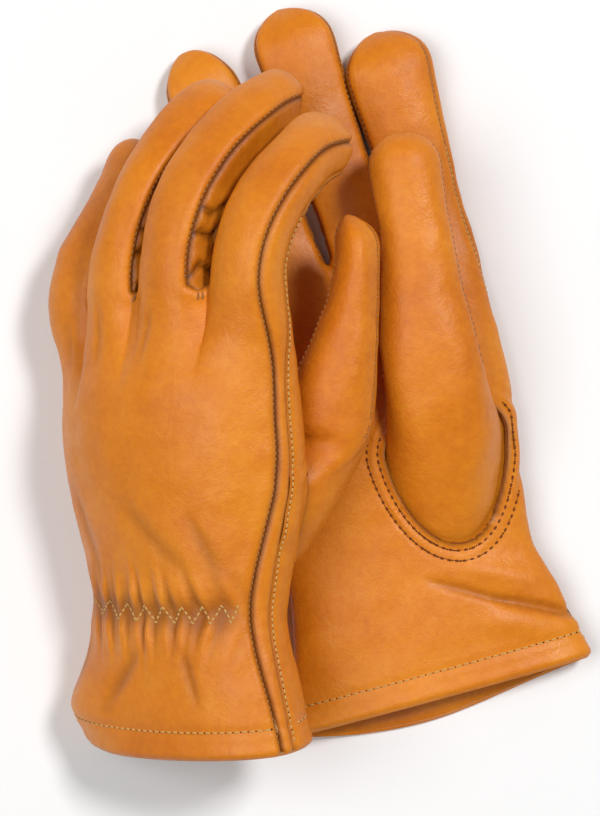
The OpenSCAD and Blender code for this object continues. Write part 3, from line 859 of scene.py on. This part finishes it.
def spread_angles(first, last, n=FINGER_CELLS):
    """Angles from first to last, evenly; either may vary along the rows."""
    w = np.linspace(0, 1, n + 1)[None, :]
    return first * (1 - w) + last * w


def back_panel(g):
    """Back of the hand and of the fingers, with the gathers of the elastic in it."""
    sheet = panel(g, (LITTLE, RING, MIDDLE, INDEX),
                  lambda f, s: spread_angles(inner_edge(0, f) + 0 * s, outer_edge(0, f, s)))
    n, way = normals(sheet.outer, sheet.inner)
    cols = across(sheet.outer, 1)
    edge = cols[:, -1:] - cols
    slit = slit_distance(sheet)
    pleats = gathers(g, sheet.flat)
    height = seam(edge) + seam(slit) + hem_shape(across(sheet.outer, 0)) + pleats + unevenness(sheet.outer)
    shade = seam_shade(edge) + seam_shade(slit) + np.clip(-pleats / 0.0024, -0.25, 0.6)
    height, shade = folded(height, shade, sheet.flat, g.back_folds, 0.0022, 0.55)
    points, shade = laid(g, sheet.outer, n, height), shade * g.seam_dark
    piece = leather(f"{g.name}_glove_back", points, way * g.flip, shade, sheet.keep, flat=sheet.flat)
    fold_over(g, piece)
    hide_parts(f"{g.name}_back_panel")
    with_hand(g, piece)
    return piece, points, sheet


def palm_panel(g):
    """Palm of the hand and of the fingers, with the hole that the thumb is sewn into."""
    sheet = panel(g, (INDEX, MIDDLE, RING, LITTLE),
                  lambda f, s: spread_angles(360.0 + outer_edge(1, f, s), inner_edge(1, f) + 0 * s))
    keep, y = sheet.keep, sheet.flat[..., 1]
    share = sheet.flat[..., 0] / hand_half_width(g, y)
    r = hole_radius(share, y)
    cell = (r[:-1, :-1] + r[1:, :-1] + r[:-1, 1:] + r[1:, 1:]) / 4
    keep[:HAND_ROWS] &= cell[:HAND_ROWS] >= 1
    kept = np.pad(keep, 1, mode="edge")
    whole = kept[:-1, :-1] & kept[1:, :-1] & kept[:-1, 1:] & kept[1:, 1:]
    rim = ~whole & (np.abs(r - 1) < 0.25) & (np.arange(y.shape[0]) < HAND_ROWS)[:, None]
    drawn = np.where(rim, HOLE_SHARE + (share - HOLE_SHARE) / r, share)
    drawn_y = np.where(rim, HOLE_MIDDLE + (y - HOLE_MIDDLE) / r, y)
    sheet.outer, sheet.inner = (
        np.where(rim[..., None], hand_point(g, drawn_y, drawn, -1, off), grid)
        for grid, off in ((sheet.outer, 0.0), (sheet.inner, LEATHER))
    )
    n, way = normals(sheet.outer, sheet.inner)
    cols, rows = across(sheet.outer, 1), across(sheet.outer, 0)
    slit = slit_distance(sheet)
    near = hole_distance(g, drawn, drawn_y)
    lap = 0.0009 * hill(near, 0, 0.0016) + 0.0005 * hill(near, 0.0042, 0.0011)
    for row in (FIRST_ROW, FIRST_ROW + ROW_SPACING):
        lap -= 0.0004 * hill(near, row, 0.0008)
    height = seam(cols, FLAT_SEAM) + seam(slit) + hem_shape(rows) + lap + unevenness(sheet.outer)
    shade = seam_shade(cols, FLAT_SEAM) + seam_shade(slit) + 0.9 * hill(near, 0, 0.0008)
    height, shade = folded(height, shade, sheet.flat, g.palm_folds, 0.0024, 0.5)
    points, shade = laid(g, sheet.outer, n, height), shade * g.seam_dark
    piece = leather(f"{g.name}_glove_palm", points, way * g.flip, shade, keep, flat=sheet.flat)
    fold_over(g, piece)
    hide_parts(f"{g.name}_palm_panel")
    with_hand(g, piece)
    return piece, points, sheet


def side_strip(g):
    """Narrow strip along the thumb side of the hand and up the index finger."""
    s = hand_rows(INDEX)[:, None]
    a = spread_angles(edge_at(0, s), edge_at(1, s), 10)
    outer, inner = skin_point(g, INDEX, s, a), skin_point(g, INDEX, s, a, LEATHER)
    n, way = normals(outer, inner)
    cols, rows = across(outer, 1), across(outer, 0)
    height, shade = narrow_shape(cols, rows, STRIP_SWELL, (), FLAT_SEAM)
    height = height + hem_shape(rows) + unevenness(outer)
    piece = leather(f"{g.name}_glove_strip", laid(g, outer, n, height), way * g.flip, shade)
    fold_over(g, piece)
    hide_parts(f"{g.name}_side_strip")
    with_hand(g, piece)


def fourchette(g, f):
    """Strip down one finger's side, round the crotch and up the next finger's side."""
    n_side, n_turn = 26, 6
    down = np.linspace(split_at(f), 0, n_side + 1)[:, None]
    up = np.linspace(0, split_at(f + 1), n_side + 1)[:, None]
    near = spread_angles(180.0 - FINGER_EDGE[0], 180.0 - FINGER_EDGE[1], STRIP_CELLS)
    far = spread_angles(FINGER_EDGE[0], FINGER_EDGE[1], STRIP_CELLS)
    grids = []
    for off in (0.0, LEATHER):
        a, b = skin_point(g, f, down, near, off), skin_point(g, f + 1, up, far, off)
        turn = []
        for k in range(1, n_turn):
            w = k / n_turn
            row = mix(a[-1], b[0], w)
            row[:, 1] -= (CROTCH_DIP + off) * math.sin(math.pi * w)
            turn.append(row[None])
        grids.append(np.concatenate([a] + turn + [b]))
    outer, inner = grids
    n, way = normals(outer, inner)
    height, shade = narrow_shape(across(outer, 1), across(outer, 0), GUSSET_SWELL, g.rucks)
    points = laid(g, outer, n, height + unevenness(outer))
    between_fingers = f"{FINGERS[f]}_{FINGERS[f + 1]}"
    piece = leather(f"{g.name}_gusset_{between_fingers}", points, way * g.flip, shade + GUSSET_SHADE)
    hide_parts(f"{g.name}_fourchette_{between_fingers}")
    with_hand(g, piece)


def round_end(start, reach):
    """Distances of the rows round an end, which get closer towards its tip."""
    return start + reach * np.sin(np.linspace(0, math.pi / 2, ROUND_ROWS + 1)[1:])


def tip_rows(g, f):
    reach = tip_reach(g, f)
    first, last = split_at(f), FINGER_LENGTH[f] - reach
    straight = np.linspace(first, last, round((last - first) / CELL))
    return np.concatenate([straight, round_end(last, reach)])[:, None]


def fingertip_piece(g, f, label, a, swell=0.0):
    s = tip_rows(g, f)
    outer, inner = finger_point(g, f, s, a), finger_point(g, f, s, a, LEATHER)
    n, way = normals(outer, inner)
    k = closing((s - (FINGER_LENGTH[f] - tip_reach(g, f))) / tip_reach(g, f))
    n[-1] = along(*bend_at(g, f, np.array(FINGER_LENGTH[f])))
    cols = across(outer, 1)
    if label == "sides":
        height, shade = narrow_shape(cols, across(outer, 0), swell, (), FLAT_SEAM if swell > 0 else 1.0)
        height = height * np.sqrt(k)
        shade = shade + (GUSSET_SHADE if swell < 0 else 0.0) * k
    else:
        height, shade = np.zeros_like(cols), np.zeros_like(cols)
        for edge, angle in ((cols, a[0, 0]), (cols[:, -1:] - cols, a[0, -1])):
            if angle != 180.0:
                strength = FLAT_SEAM if f == INDEX and angle > 300 else 1.0
                height += seam(edge, strength) * np.sqrt(k)
                shade += seam_shade(edge, strength)
    height = height + unevenness(outer) * k
    if label == "palm" and g is LEFT or label == "back" and g is RIGHT:
        run = (s - split_at(f)) / 0.006
        height += 0.0004 * np.sin(run * math.pi) * hill(run, 0, 3)
    return laid(g, outer, n, height, closed=True), way * g.flip, shade * g.seam_dark


def tip_faces(f):
    """The back and the palm side of a fingertip, with the angles of their columns."""
    return (
        ("back", spread_angles(inner_edge(0, f) + FIXED, FINGER_EDGE[0] + FIXED)),
        ("palm", spread_angles(360 + FINGER_EDGE[1] + FIXED, inner_edge(1, f) + FIXED)),
    )


def fingertip(g, f):
    name = f"{g.name}_{FINGERS[f]}"
    for label, a in tip_faces(f):
        piece = leather(f"{name}_{label}_end", *fingertip_piece(g, f, label, a))
        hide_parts(f"{name}_tip_{label}")
        with_finger(g, f, piece)
    sides = [spread_angles(FINGER_EDGE[0] + FIXED, FINGER_EDGE[1] + FIXED, STRIP_CELLS)]
    if f != LITTLE:
        sides.append(spread_angles(180 - FINGER_EDGE[1] + FIXED, 180 - FINGER_EDGE[0] + FIXED, STRIP_CELLS))
    for side, a in zip(("outer", "inner"), sides):
        swell = STRIP_SWELL if f == INDEX and side == "outer" else GUSSET_SWELL
        piece = leather(f"{name}_side_end_{side}", *fingertip_piece(g, f, "sides", a, swell))
        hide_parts(f"{name}_tip_sides")
        with_finger(g, f, piece)


# ---- the thumb ----
LAP_ROWS = np.array([-1.0, -0.5, 0.0])[:, None]
LOFT_ROWS = 40             # from the hole in the palm to the thumb's joint
JOINT_ROW = len(LAP_ROWS) + LOFT_ROWS - 1
SMOOTHED = slice(JOINT_ROW - 34, JOINT_ROW + 34)


def thumb_grid(g, a):
    """Rows from the lap under the palm, out of the hole and along the thumb to its tip."""
    foot = foot_point(g, np.concatenate([LAP_ROWS, np.linspace(0, 1, LOFT_ROWS + 1)[1:, None]]), a)
    last = THUMB_LENGTH - THUMB_TIP
    straight = np.linspace(THUMB_JOINT, last, round((last - THUMB_JOINT) / CELL) + 1)[1:]
    tube = thumb_point(g, np.concatenate([straight, round_end(last, THUMB_TIP)])[:, None], a)
    grid = np.concatenate([foot, tube])
    part = grid[SMOOTHED]
    for _ in range(g.thumb_smoothing):
        part[1:-1] = part[1:-1] * 0.5 + (part[:-2] + part[2:]) * 0.25
    return grid


def with_thumb(g, piece, points):
    start = points[JOINT_ROW].mean(axis=0)
    end = start + direction(g, along(*thumb_bend(g, np.array(THUMB_JOINT)))) * TURN_OVER
    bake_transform(piece)


def thumb(g):
    """Both sides of the thumb, each a foot on the hand and an end beyond the joint."""
    made = {}
    for label, first, last in (("front", 360, 180), ("back", 180, 0)):
        grid = thumb_grid(g, np.linspace(first, last, THUMB_CELLS + 1)[None, :])
        n = facing(grid)
        middle = grid.mean(axis=1, keepdims=True)
        reach = slice(JOINT_ROW, JOINT_ROW + 20)
        way = np.sign(np.sum(n[reach] * (grid[reach] - middle[reach])))
        n = n * way
        n[-1] = np.array(along(*thumb_bend(g, np.array(THUMB_LENGTH))))
        cols, rows = across(grid, 1), across(grid, 0)
        edge = np.minimum(cols, cols[:, -1:] - cols)
        tube = smooth((np.arange(grid.shape[0]) - JOINT_ROW + 18) / 18)[:, None]
        height = seam(edge, 0.8) * tube + 0.00035 * rumple(grid, 0.016) + 0.00012 * rumple(grid, 0.006)
        height[:3] = 0
        shade = 0.85 * hill(edge, 0, 0.0010) * tube + 0.35 * hill(rows, rows[2:3], 0.0025)
        points = laid(g, grid, n, height, g.thumb_pushes, closed=True)
        foot = slice(JOINT_ROW + 1)
        end = slice(JOINT_ROW, None)
        root = leather(f"{g.name}_thumb_{label}_foot", points[foot], way * g.flip, shade[foot])
        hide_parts(f"{g.name}_thumb_{label}_root")
        with_hand(g, root)
        tip = leather(f"{g.name}_thumb_{label}_end", points[end], way * g.flip, shade[end])
        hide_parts(f"{g.name}_thumb_{label}_tip")
        with_thumb(g, tip, points)
        made[label] = points
    return made


# ---- the cuff ----
RING_STEP = 1.5            # degrees round the cuff from column to column
RING_SHADE = 0.12


def ring_shell(g, name, from_y, to_y, off, first, last, thick, finishes, pleated):
    """A band inside the glove, off from its outside; the tape is pleated, the hem rolled at its edge."""
    n_rows, n_cols = max(6, round((to_y - from_y) / CELL)), round(abs(first - last) / RING_STEP)
    y = np.linspace(from_y, to_y, n_rows + 1)[:, None]
    y, a = np.broadcast_arrays(y, np.linspace(first, last, n_cols + 1)[None, :])
    back = np.sin(np.radians(a)) > 0
    top = np.where(np.sin(np.radians(a)) >= 0, 1, -1)
    share = ring_x(a)
    face, behind = hand_point(g, y, share, top, off), hand_point(g, y, share, top, off - thick)
    n, way = normals(face, behind)
    flat = np.stack([share * hand_half_width(g, y), y], axis=-1)
    height = -np.where(back, gathers(g, flat), 0) if pleated else rolled(y - from_y, 0.0013)
    points = laid(g, face, n, height, depth=off)
    return leather(name, points, way * g.flip, np.full(y.shape, RING_SHADE), None, thick, finishes, flat)


def cuff(g):
    hem = ring_shell(g, f"{g.name}_turned_hem", 0.0, HEM_WIDTH, 2 * LEATHER + 0.0002, 359.6, 0.4,
                     LEATHER, (GRAIN, SUEDE, EDGE), False)
    fold_over(g, hem)
    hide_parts(f"{g.name}_cuff_hem")
    low, high = WRIST_HEIGHT - ELASTIC_WIDTH / 2, WRIST_HEIGHT + ELASTIC_WIDTH / 2
    tape = ring_shell(g, f"{g.name}_elastic_tape", low, high, LEATHER + ELASTIC_THICKNESS + 0.0003, 165, 15,
                      ELASTIC_THICKNESS, (ELASTIC, ELASTIC, ELASTIC), True)
    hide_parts(f"{g.name}_wrist_elastic")
    with_hand(g, hem)
    with_hand(g, tape)


# ---- sewing ----
THREAD_RADIUS = 0.00036
SIDE_PITCH = 0.0020        # from stitch to stitch along the fingers and the side
THUMB_PITCH = 0.0026       # and round the thumb and the hem
HOLE_RADIUS = 0.00042


def stitch_pattern(segments, rings):
    """A small round body with its length along X, which every stitch is a copy of."""
    bpy.ops.object.select_all(action="DESELECT")
    bpy.ops.mesh.primitive_uv_sphere_add(segments=segments, ring_count=rings, radius=1.0)
    ball = bpy.context.object
    mesh = ball.data
    points = np.array([v.co for v in mesh.vertices])[:, [2, 0, 1]]
    faces = [tuple(p.vertices) for p in mesh.polygons]
    bpy.data.objects.remove(ball)
    return points, faces


STITCH = stitch_pattern(6, 5)
# shape of the dark dots of painted shade at the needle holes
HOLE_BALL = stitch_pattern(6, 3)


def picked(d, run, field):
    """The field's vectors at distance d, where run holds the distances that they are known at."""
    return np.stack([np.interp(d, run, field[:, k]) for k in range(3)], axis=-1)


def evenly(path, normal, pitch):
    """Middles, directions and outward normals of the stitches along a path."""
    run = across(path, 0)
    count = max(1, int(run[-1] / pitch))
    at = (np.arange(count) + 0.5) * run[-1] / count
    ahead, behind = np.minimum(at + 0.4 * pitch, run[-1]), np.maximum(at - 0.4 * pitch, 0)
    t = unit(picked(ahead, run, path) - picked(behind, run, path), 1e-9)
    n = picked(at, run, normal)
    n = unit(n - t * np.sum(n * t, axis=1, keepdims=True), 1e-9)
    return picked(at, run, path), t, n


class Seamstress:
    """Gathers the stitches of one piece of sewing."""

    def __init__(self, name):
        self.name, self.points, self.faces, self.slots, self.count = name, [], [], [], 0

    def place(self, pattern, slot, centre, t, n, length, width, height, arch=0.0):
        points, faces = pattern
        b = np.cross(n, t)
        x, y, z = points.T
        for c, tt, nn, bb in zip(centre, t, n, b):
            local = (c + tt * (x * length)[:, None] + bb * (y * width)[:, None]
                     + nn * (z * height + arch * (1 - x * x))[:, None])
            self.points.append(local)
            self.faces += [tuple(i + self.count for i in face) for face in faces]
            self.slots += [slot] * len(faces)
            self.count += len(points)

    def row(self, path, normal, pitch, cover=0.74, radius=THREAD_RADIUS, holes=True):
        centre, t, n = evenly(path, normal, pitch)
        sunk = centre - n * radius * 0.25
        self.place(STITCH, 0, sunk, t, n, pitch * cover / 2, radius, radius * 0.8, radius * 0.5)
        # a dark dot of painted shade where each needle hole is
        if holes:
            self.place(HOLE_BALL, 1, centre + t * pitch / 2 - n * 0.00012, t, n, pitch * (1.04 - cover) / 2,
                       HOLE_RADIUS, 0.0002)

    def finish(self, thread):
        mesh = bpy.data.meshes.new(self.name)
        mesh.from_pydata(np.concatenate(self.points).tolist(), [], self.faces)
        mesh.materials.append(thread)
        mesh.materials.append(NEEDLE_HOLE_SHADE)
        mesh.polygons.foreach_set("material_index", self.slots)
        mesh.polygons.foreach_set("use_smooth", [True] * len(mesh.polygons))
        mesh.update()
        piece = bpy.data.objects.new(self.name, mesh)
        bpy.context.collection.objects.link(piece)
        return piece


def grid_normals(points, hint, rows=slice(None)):
    """Normals on the side that the hint points to, judged by those rows."""
    n = facing(points)
    return n * np.sign(np.sum(n[rows] * hint))


def inset(points, normal, side, d):
    """Path at distance d in from the grid's first (side 0) or last (side 1) column."""
    if side:
        points, normal = points[:, ::-1], normal[:, ::-1]
    run = across(points, 1)
    return [np.array([picked(d, *row) for row in zip(run, field)]) for field in (points, normal)]


def at_row(points, normal, flat, y):
    """Path across a panel's grid at that distance from the cuff."""
    from_cuff = flat[..., 1].T
    fields = (points.swapaxes(0, 1), normal.swapaxes(0, 1))
    return [np.array([picked(y, *column) for column in zip(from_cuff, field)]) for field in fields]


def on_leather(piece, path, hint):
    """Points and normals of the leather under a path just outside it, looked at against the hint."""
    mesh = piece.data
    tree = BVHTree.FromPolygons([v.co for v in mesh.vertices], [p.vertices for p in mesh.polygons])
    points, normal = [], []
    for p in path:
        where, n, _, _ = tree.ray_cast(Vector(p + hint * 0.012), Vector(-hint), 0.03)
        if where is None:
            where, n, _, _ = tree.find_nearest(Vector(p + hint * 0.002))
        points.append(where)
        normal.append(n if n.dot(Vector(hint)) > 0 else -n)
    return np.array(points), np.array(normal)


INSET = 0.0015             # from a finger's seam to its stitches
SIDE_INSET = 0.0011
THUMB_INSET = {"left": 0.0042, "right": 0.0024}
ROW_LIMIT = 0.955          # the rows round the thumb stop at this share of the palm's half width
ROW_THREAD = 0.00045
TOOTH = 0.0094             # from tooth to tooth of the zigzag along the elastic
TOOTH_STEPS = 6
TOOTH_HEIGHT = 0.0028      # from the middle of the zigzag
TACK = 0.0014              # half length of the stitches across the foot of a slit
OUTSIDE = -0.001           # paths are laid out this far outside the leather, and then drawn onto it


def sewn(g, stitches, thread, node=None):
    piece = stitches.finish(thread)
    if node:
        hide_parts(f"{g.name}_{node}")
    return piece


def sew_glove(g, back, palm, thumbs):
    back_piece, back_points, back_sheet = back
    palm_piece, palm_points, palm_sheet = palm
    up = direction(g, np.array([0.0, 0.0, 1.0]))
    back_n, palm_n = grid_normals(back_points, up), grid_normals(palm_points, -up)

    # the back's row is sewn with the thread in painted shade, the palm's with the lit golden thread
    dark, light = Seamstress(f"{g.name}_side_seam_stitches"), Seamstress(f"{g.name}_side_seam_top_stitches")
    dark.row(*(v[3:] for v in inset(back_points, back_n, 1, SIDE_INSET)), SIDE_PITCH)
    light.row(*(v[3:] for v in inset(palm_points, palm_n, 0, SIDE_INSET)), SIDE_PITCH)
    dark, light = sewn(g, dark, THREAD_IN_SHADE, "side_seam_stitching"), sewn(g, light, THREAD)
    with_hand(g, dark)
    with_hand(g, light)

    panels = ((back_points, back_n, back_sheet), (palm_points, palm_n, palm_sheet))
    fingers = Seamstress(f"{g.name}_finger_seam_stitches")
    for points, normal, sheet in panels:
        for f in range(4):
            cols, sides = slit_sides(sheet, f)
            for side in sides:
                part, part_n = points[HAND_ROWS + 1:, cols], normal[HAND_ROWS + 1:, cols]
                fingers.row(*inset(part, part_n, side, INSET), SIDE_PITCH)
    for gap in np.where(back_sheet.finger < 0)[0].reshape(3, -1)[:, 1:-1]:
        way = unit(back_points[HAND_ROWS, gap] - back_points[HAND_ROWS - 4, gap])
        foot, foot_n = back_points[HAND_ROWS - 2, gap], back_n[HAND_ROWS - 2, gap]
        fingers.place(STITCH, 0, foot, way, foot_n, TACK, THREAD_RADIUS, THREAD_RADIUS, 0.0002)
    with_hand(g, sewn(g, fingers, THREAD_IN_SHADE))

    hem = Seamstress(f"{g.name}_hem_stitches")
    for points, normal, sheet in panels:
        hem.row(*(v[2:-2] for v in at_row(points, normal, sheet.flat, HEM_STITCH)), THUMB_PITCH)
    with_hand(g, sewn(g, hem, THREAD, "hem_stitching"))

    zigzag = Seamstress(f"{g.name}_elastic_zigzag")
    wrist = hand_half_width(g, np.array(WRIST_HEIGHT))
    width = wrist * 0.96
    turns = 2 * round(float(width) * 2 / TOOTH)
    x = np.linspace(-width, width * 0.87, turns * TOOTH_STEPS + 1)
    seen = placed(g, hand_point(g, np.full_like(x, WRIST_HEIGHT), x / wrist, 1, 0.0))
    x = np.interp(np.linspace(seen[0, 0], seen[-1, 0], len(x)), seen[:, 0], x)
    y = WRIST_HEIGHT + TOOTH_HEIGHT * (np.abs((np.arange(len(x)) / TOOTH_STEPS) % 2 - 1) * 2 - 1)
    path = placed(g, hand_point(g, y, x / hand_half_width(g, y), 1, OUTSIDE))
    zigzag.row(*on_leather(back_piece, path, up), 0.0019, 0.86, 0.0004, False)
    with_hand(g, sewn(g, zigzag, THREAD, "elastic_stitching"))

    rows = Seamstress(f"{g.name}_thumb_seam_stitches")
    for far in (FIRST_ROW, FIRST_ROW + ROW_SPACING):
        a = np.linspace(150, 390, 240)
        share, y = hole_ring(g, a, far)
        share, y = share[share < ROW_LIMIT], y[share < ROW_LIMIT]
        path = placed(g, hand_point(g, y, share, -1, OUTSIDE))
        rows.row(*on_leather(palm_piece, path, -up), THUMB_PITCH, 0.7, ROW_THREAD)
    with_hand(g, sewn(g, rows, THREAD_BROWN, "thumb_seam_stitching"))

    tip = Seamstress(f"{g.name}_thumb_stitches")
    foot = Seamstress(f"{g.name}_thumb_foot_stitches")
    points = thumbs["back" if g is LEFT else "front"]
    normal = grid_normals(points, up if g is LEFT else -up)
    for stitches, part in ((tip, slice(JOINT_ROW + 1, -7)), (foot, slice(JOINT_ROW - 8, JOINT_ROW))):
        for side in (0, 1):
            stitches.row(*inset(points[part], normal[part], side, THUMB_INSET[g.name]), SIDE_PITCH)
    with_thumb(g, sewn(g, tip, THREAD_IN_SHADE, "thumb_tip_stitching"), points)
    with_hand(g, sewn(g, foot, THREAD_IN_SHADE))

    for f in range(4):
        ends = Seamstress(f"{g.name}_{FINGERS[f]}_end_stitches")
        for (label, a), hint in zip(tip_faces(f), (up, -up)):
            points = fingertip_piece(g, f, label, a)[0]
            normal = grid_normals(points, hint, slice(6))
            sides = (0, 1) if f != LITTLE else (1,) if label == "back" else (0,)
            for side in sides:
                ends.row(*(v[:-9] for v in inset(points, normal, side, INSET)), SIDE_PITCH)
        with_finger(g, f, sewn(g, ends, THREAD_IN_SHADE))


# ---- soft shapes of each glove ----
# rucks: distance from a crotch and depth; pushes: middle, reach and shift, where the glove lies;
# folds: start, end, width and height, on the flat hand.
LEFT.gather, RIGHT.gather = 1.0, 0.45
LEFT.rucks = ((0.007, 0.0013), (0.0185, 0.0015), (0.027, 0.0010))
RIGHT.rucks = ((0.009, 0.0006),)
LEFT.thumb_smoothing, RIGHT.thumb_smoothing = 260, 60
# how strong each glove's painted shade in seams, slits, creases and pleats is
LEFT.seam_dark, RIGHT.seam_dark = 1.0, 0.75
LEFT.pushes = (
    ((-0.082, -0.1130, 0.030), (0.015, 0.013, 0.050), (-0.0050, -0.0005, 0.0)),
    ((-0.084, -0.0300, 0.035), (0.020, 0.030, 0.040), (-0.0022, 0.0, 0.0)),
    ((-0.0767, 0.0724, 0.033), (0.020, 0.022, 0.017), (0.0045, -0.0050, 0.0)),
    ((-0.0860, 0.0560, 0.030), (0.013, 0.024, 0.030), (0.0045, -0.0010, 0.0)),
    ((-0.0640, -0.1260, 0.030), (0.035, 0.012, 0.050), (0.0, -0.0020, 0.0)),
    ((-0.0830, -0.1250, 0.030), (0.009, 0.008, 0.050), (0.0035, 0.0005, 0.0)),
    ((0.0150, 0.0765, 0.062), (0.016, 0.024, 0.030), (-0.0058, -0.0005, 0.0)),
    ((-0.0020, 0.0920, 0.062), (0.012, 0.018, 0.030), (-0.0042, 0.0, 0.0)),
    ((-0.0095, -0.0440, 0.050), (0.015, 0.036, 0.040), (0.0045, 0.0, 0.0)),
)
RIGHT.pushes = (
    ((0.0415, -0.1180, 0.0), (0.052, 0.020, 0.007), (0.0022, -0.0085, 0.0)),
    ((-0.0440, 0.1100, 0.010), (0.016, 0.014, 0.020), (-0.0022, 0.0034, 0.0)),
    ((0.0020, 0.1210, 0.012), (0.013, 0.016, 0.020), (0.0014, 0.0012, 0.0)),
    ((0.0350, 0.1140, 0.012), (0.012, 0.012, 0.020), (0.0008, 0.0016, 0.0)),
)
LEFT.thumb_pushes = (
    ((-0.0060, 0.0460, 0.055), (0.016, 0.027, 0.060), (0.0095, 0.0, 0.0)),
    ((0.0090, 0.0560, 0.055), (0.014, 0.014, 0.060), (0.0, -0.0030, 0.0)),
    ((-0.0040, 0.0180, 0.055), (0.014, 0.022, 0.060), (0.0030, 0.0, 0.0)),
)
RIGHT.thumb_pushes = ()
LEFT.back_folds = (
    ((0.010, 0.150), (0.006, 0.134), 0.0011, -0.0005),
    ((-0.014, 0.151), (-0.013, 0.132), 0.0012, -0.0006),
    ((-0.036, 0.146), (-0.033, 0.130), 0.0011, -0.0005),
    ((0.018, 0.062), (-0.004, 0.086), 0.0030, -0.0007),
    ((-0.020, 0.060), (-0.030, 0.090), 0.0026, -0.0006),
    ((0.030, 0.058), (0.022, 0.080), 0.0022, -0.0008),
    ((-0.004, 0.036), (-0.018, 0.016), 0.0024, -0.0009),
    ((0.014, 0.036), (0.020, 0.018), 0.0020, -0.0008),
    ((-0.034, 0.036), (-0.038, 0.016), 0.0022, -0.0008),
)
LEFT.palm_folds = ()
RIGHT.back_folds = ()
RIGHT.palm_folds = (
    ((0.0050, 0.0405), (0.0290, 0.0265), 0.0015, -0.0015),
    ((0.0260, 0.0285), (0.0530, 0.0150), 0.0019, -0.0023),
    ((0.0120, 0.0440), (0.0460, 0.0290), 0.0042, 0.0016),
    ((0.0180, 0.0240), (0.0440, 0.0120), 0.0040, 0.0010),
)

for g in (RIGHT, LEFT):
    back, palm = back_panel(g), palm_panel(g)
    side_strip(g)
    for f in (INDEX, MIDDLE, RING):
        fourchette(g, f)
    for f in range(4):
        fingertip(g, f)
    thumbs = thumb(g)
    cuff(g)
    sew_glove(g, back, palm, thumbs)


# ---- floor and light ----
def floor():
    bpy.ops.object.select_all(action="DESELECT")
    bpy.ops.mesh.primitive_grid_add(x_subdivisions=8, y_subdivisions=8, size=6.0, location=(0, 0, -0.0004))
    sheet = bpy.context.object
    sheet.name = "pale_floor"
    finish, tree, shader, place = new_finish("pale_floor")
    shade = ramp(tree, noise(tree, place, 3.0), (0.3, (0.90, 0.90, 0.90)), (0.7, (0.93, 0.93, 0.93)))
    tree.links.new(shade, shader.inputs["Base Color"])
    shader.inputs["Roughness"].default_value = 0.9
    shader.inputs["Specular IOR Level"].default_value = 0.1
    sheet.data.materials.append(finish)
    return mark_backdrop(sheet)


def softbox(name, at, size, power, colour=(1.0, 1.0, 1.0), towards=(0.0, 0.0, 0.04)):
    data = bpy.data.lights.new(name, "AREA")
    data.shape = "RECTANGLE"
    data.size, data.size_y = size
    data.energy = power
    data.color = colour
    lamp = bpy.data.objects.new(name, data)
    lamp.location = at
    lamp.rotation_euler = (Vector(towards) - Vector(at)).to_track_quat("-Z", "Y").to_euler()
    bpy.context.collection.objects.link(lamp)
    return lamp


floor()
softbox("key", (0.85, 0.70, 1.90), (0.42, 0.42), 28.0)
softbox("fill", (-0.85, -0.05, 1.75), (1.3, 1.3), 19.5)
world = bpy.data.worlds.new("studio")
world.use_nodes = True
world.node_tree.nodes["Background"].inputs["Color"].default_value = (1.0, 1.0, 1.0, 1.0)
world.node_tree.nodes["Background"].inputs["Strength"].default_value = 0.18
bpy.context.scene.world = world
bpy.context.scene.view_settings.view_transform = "Standard"
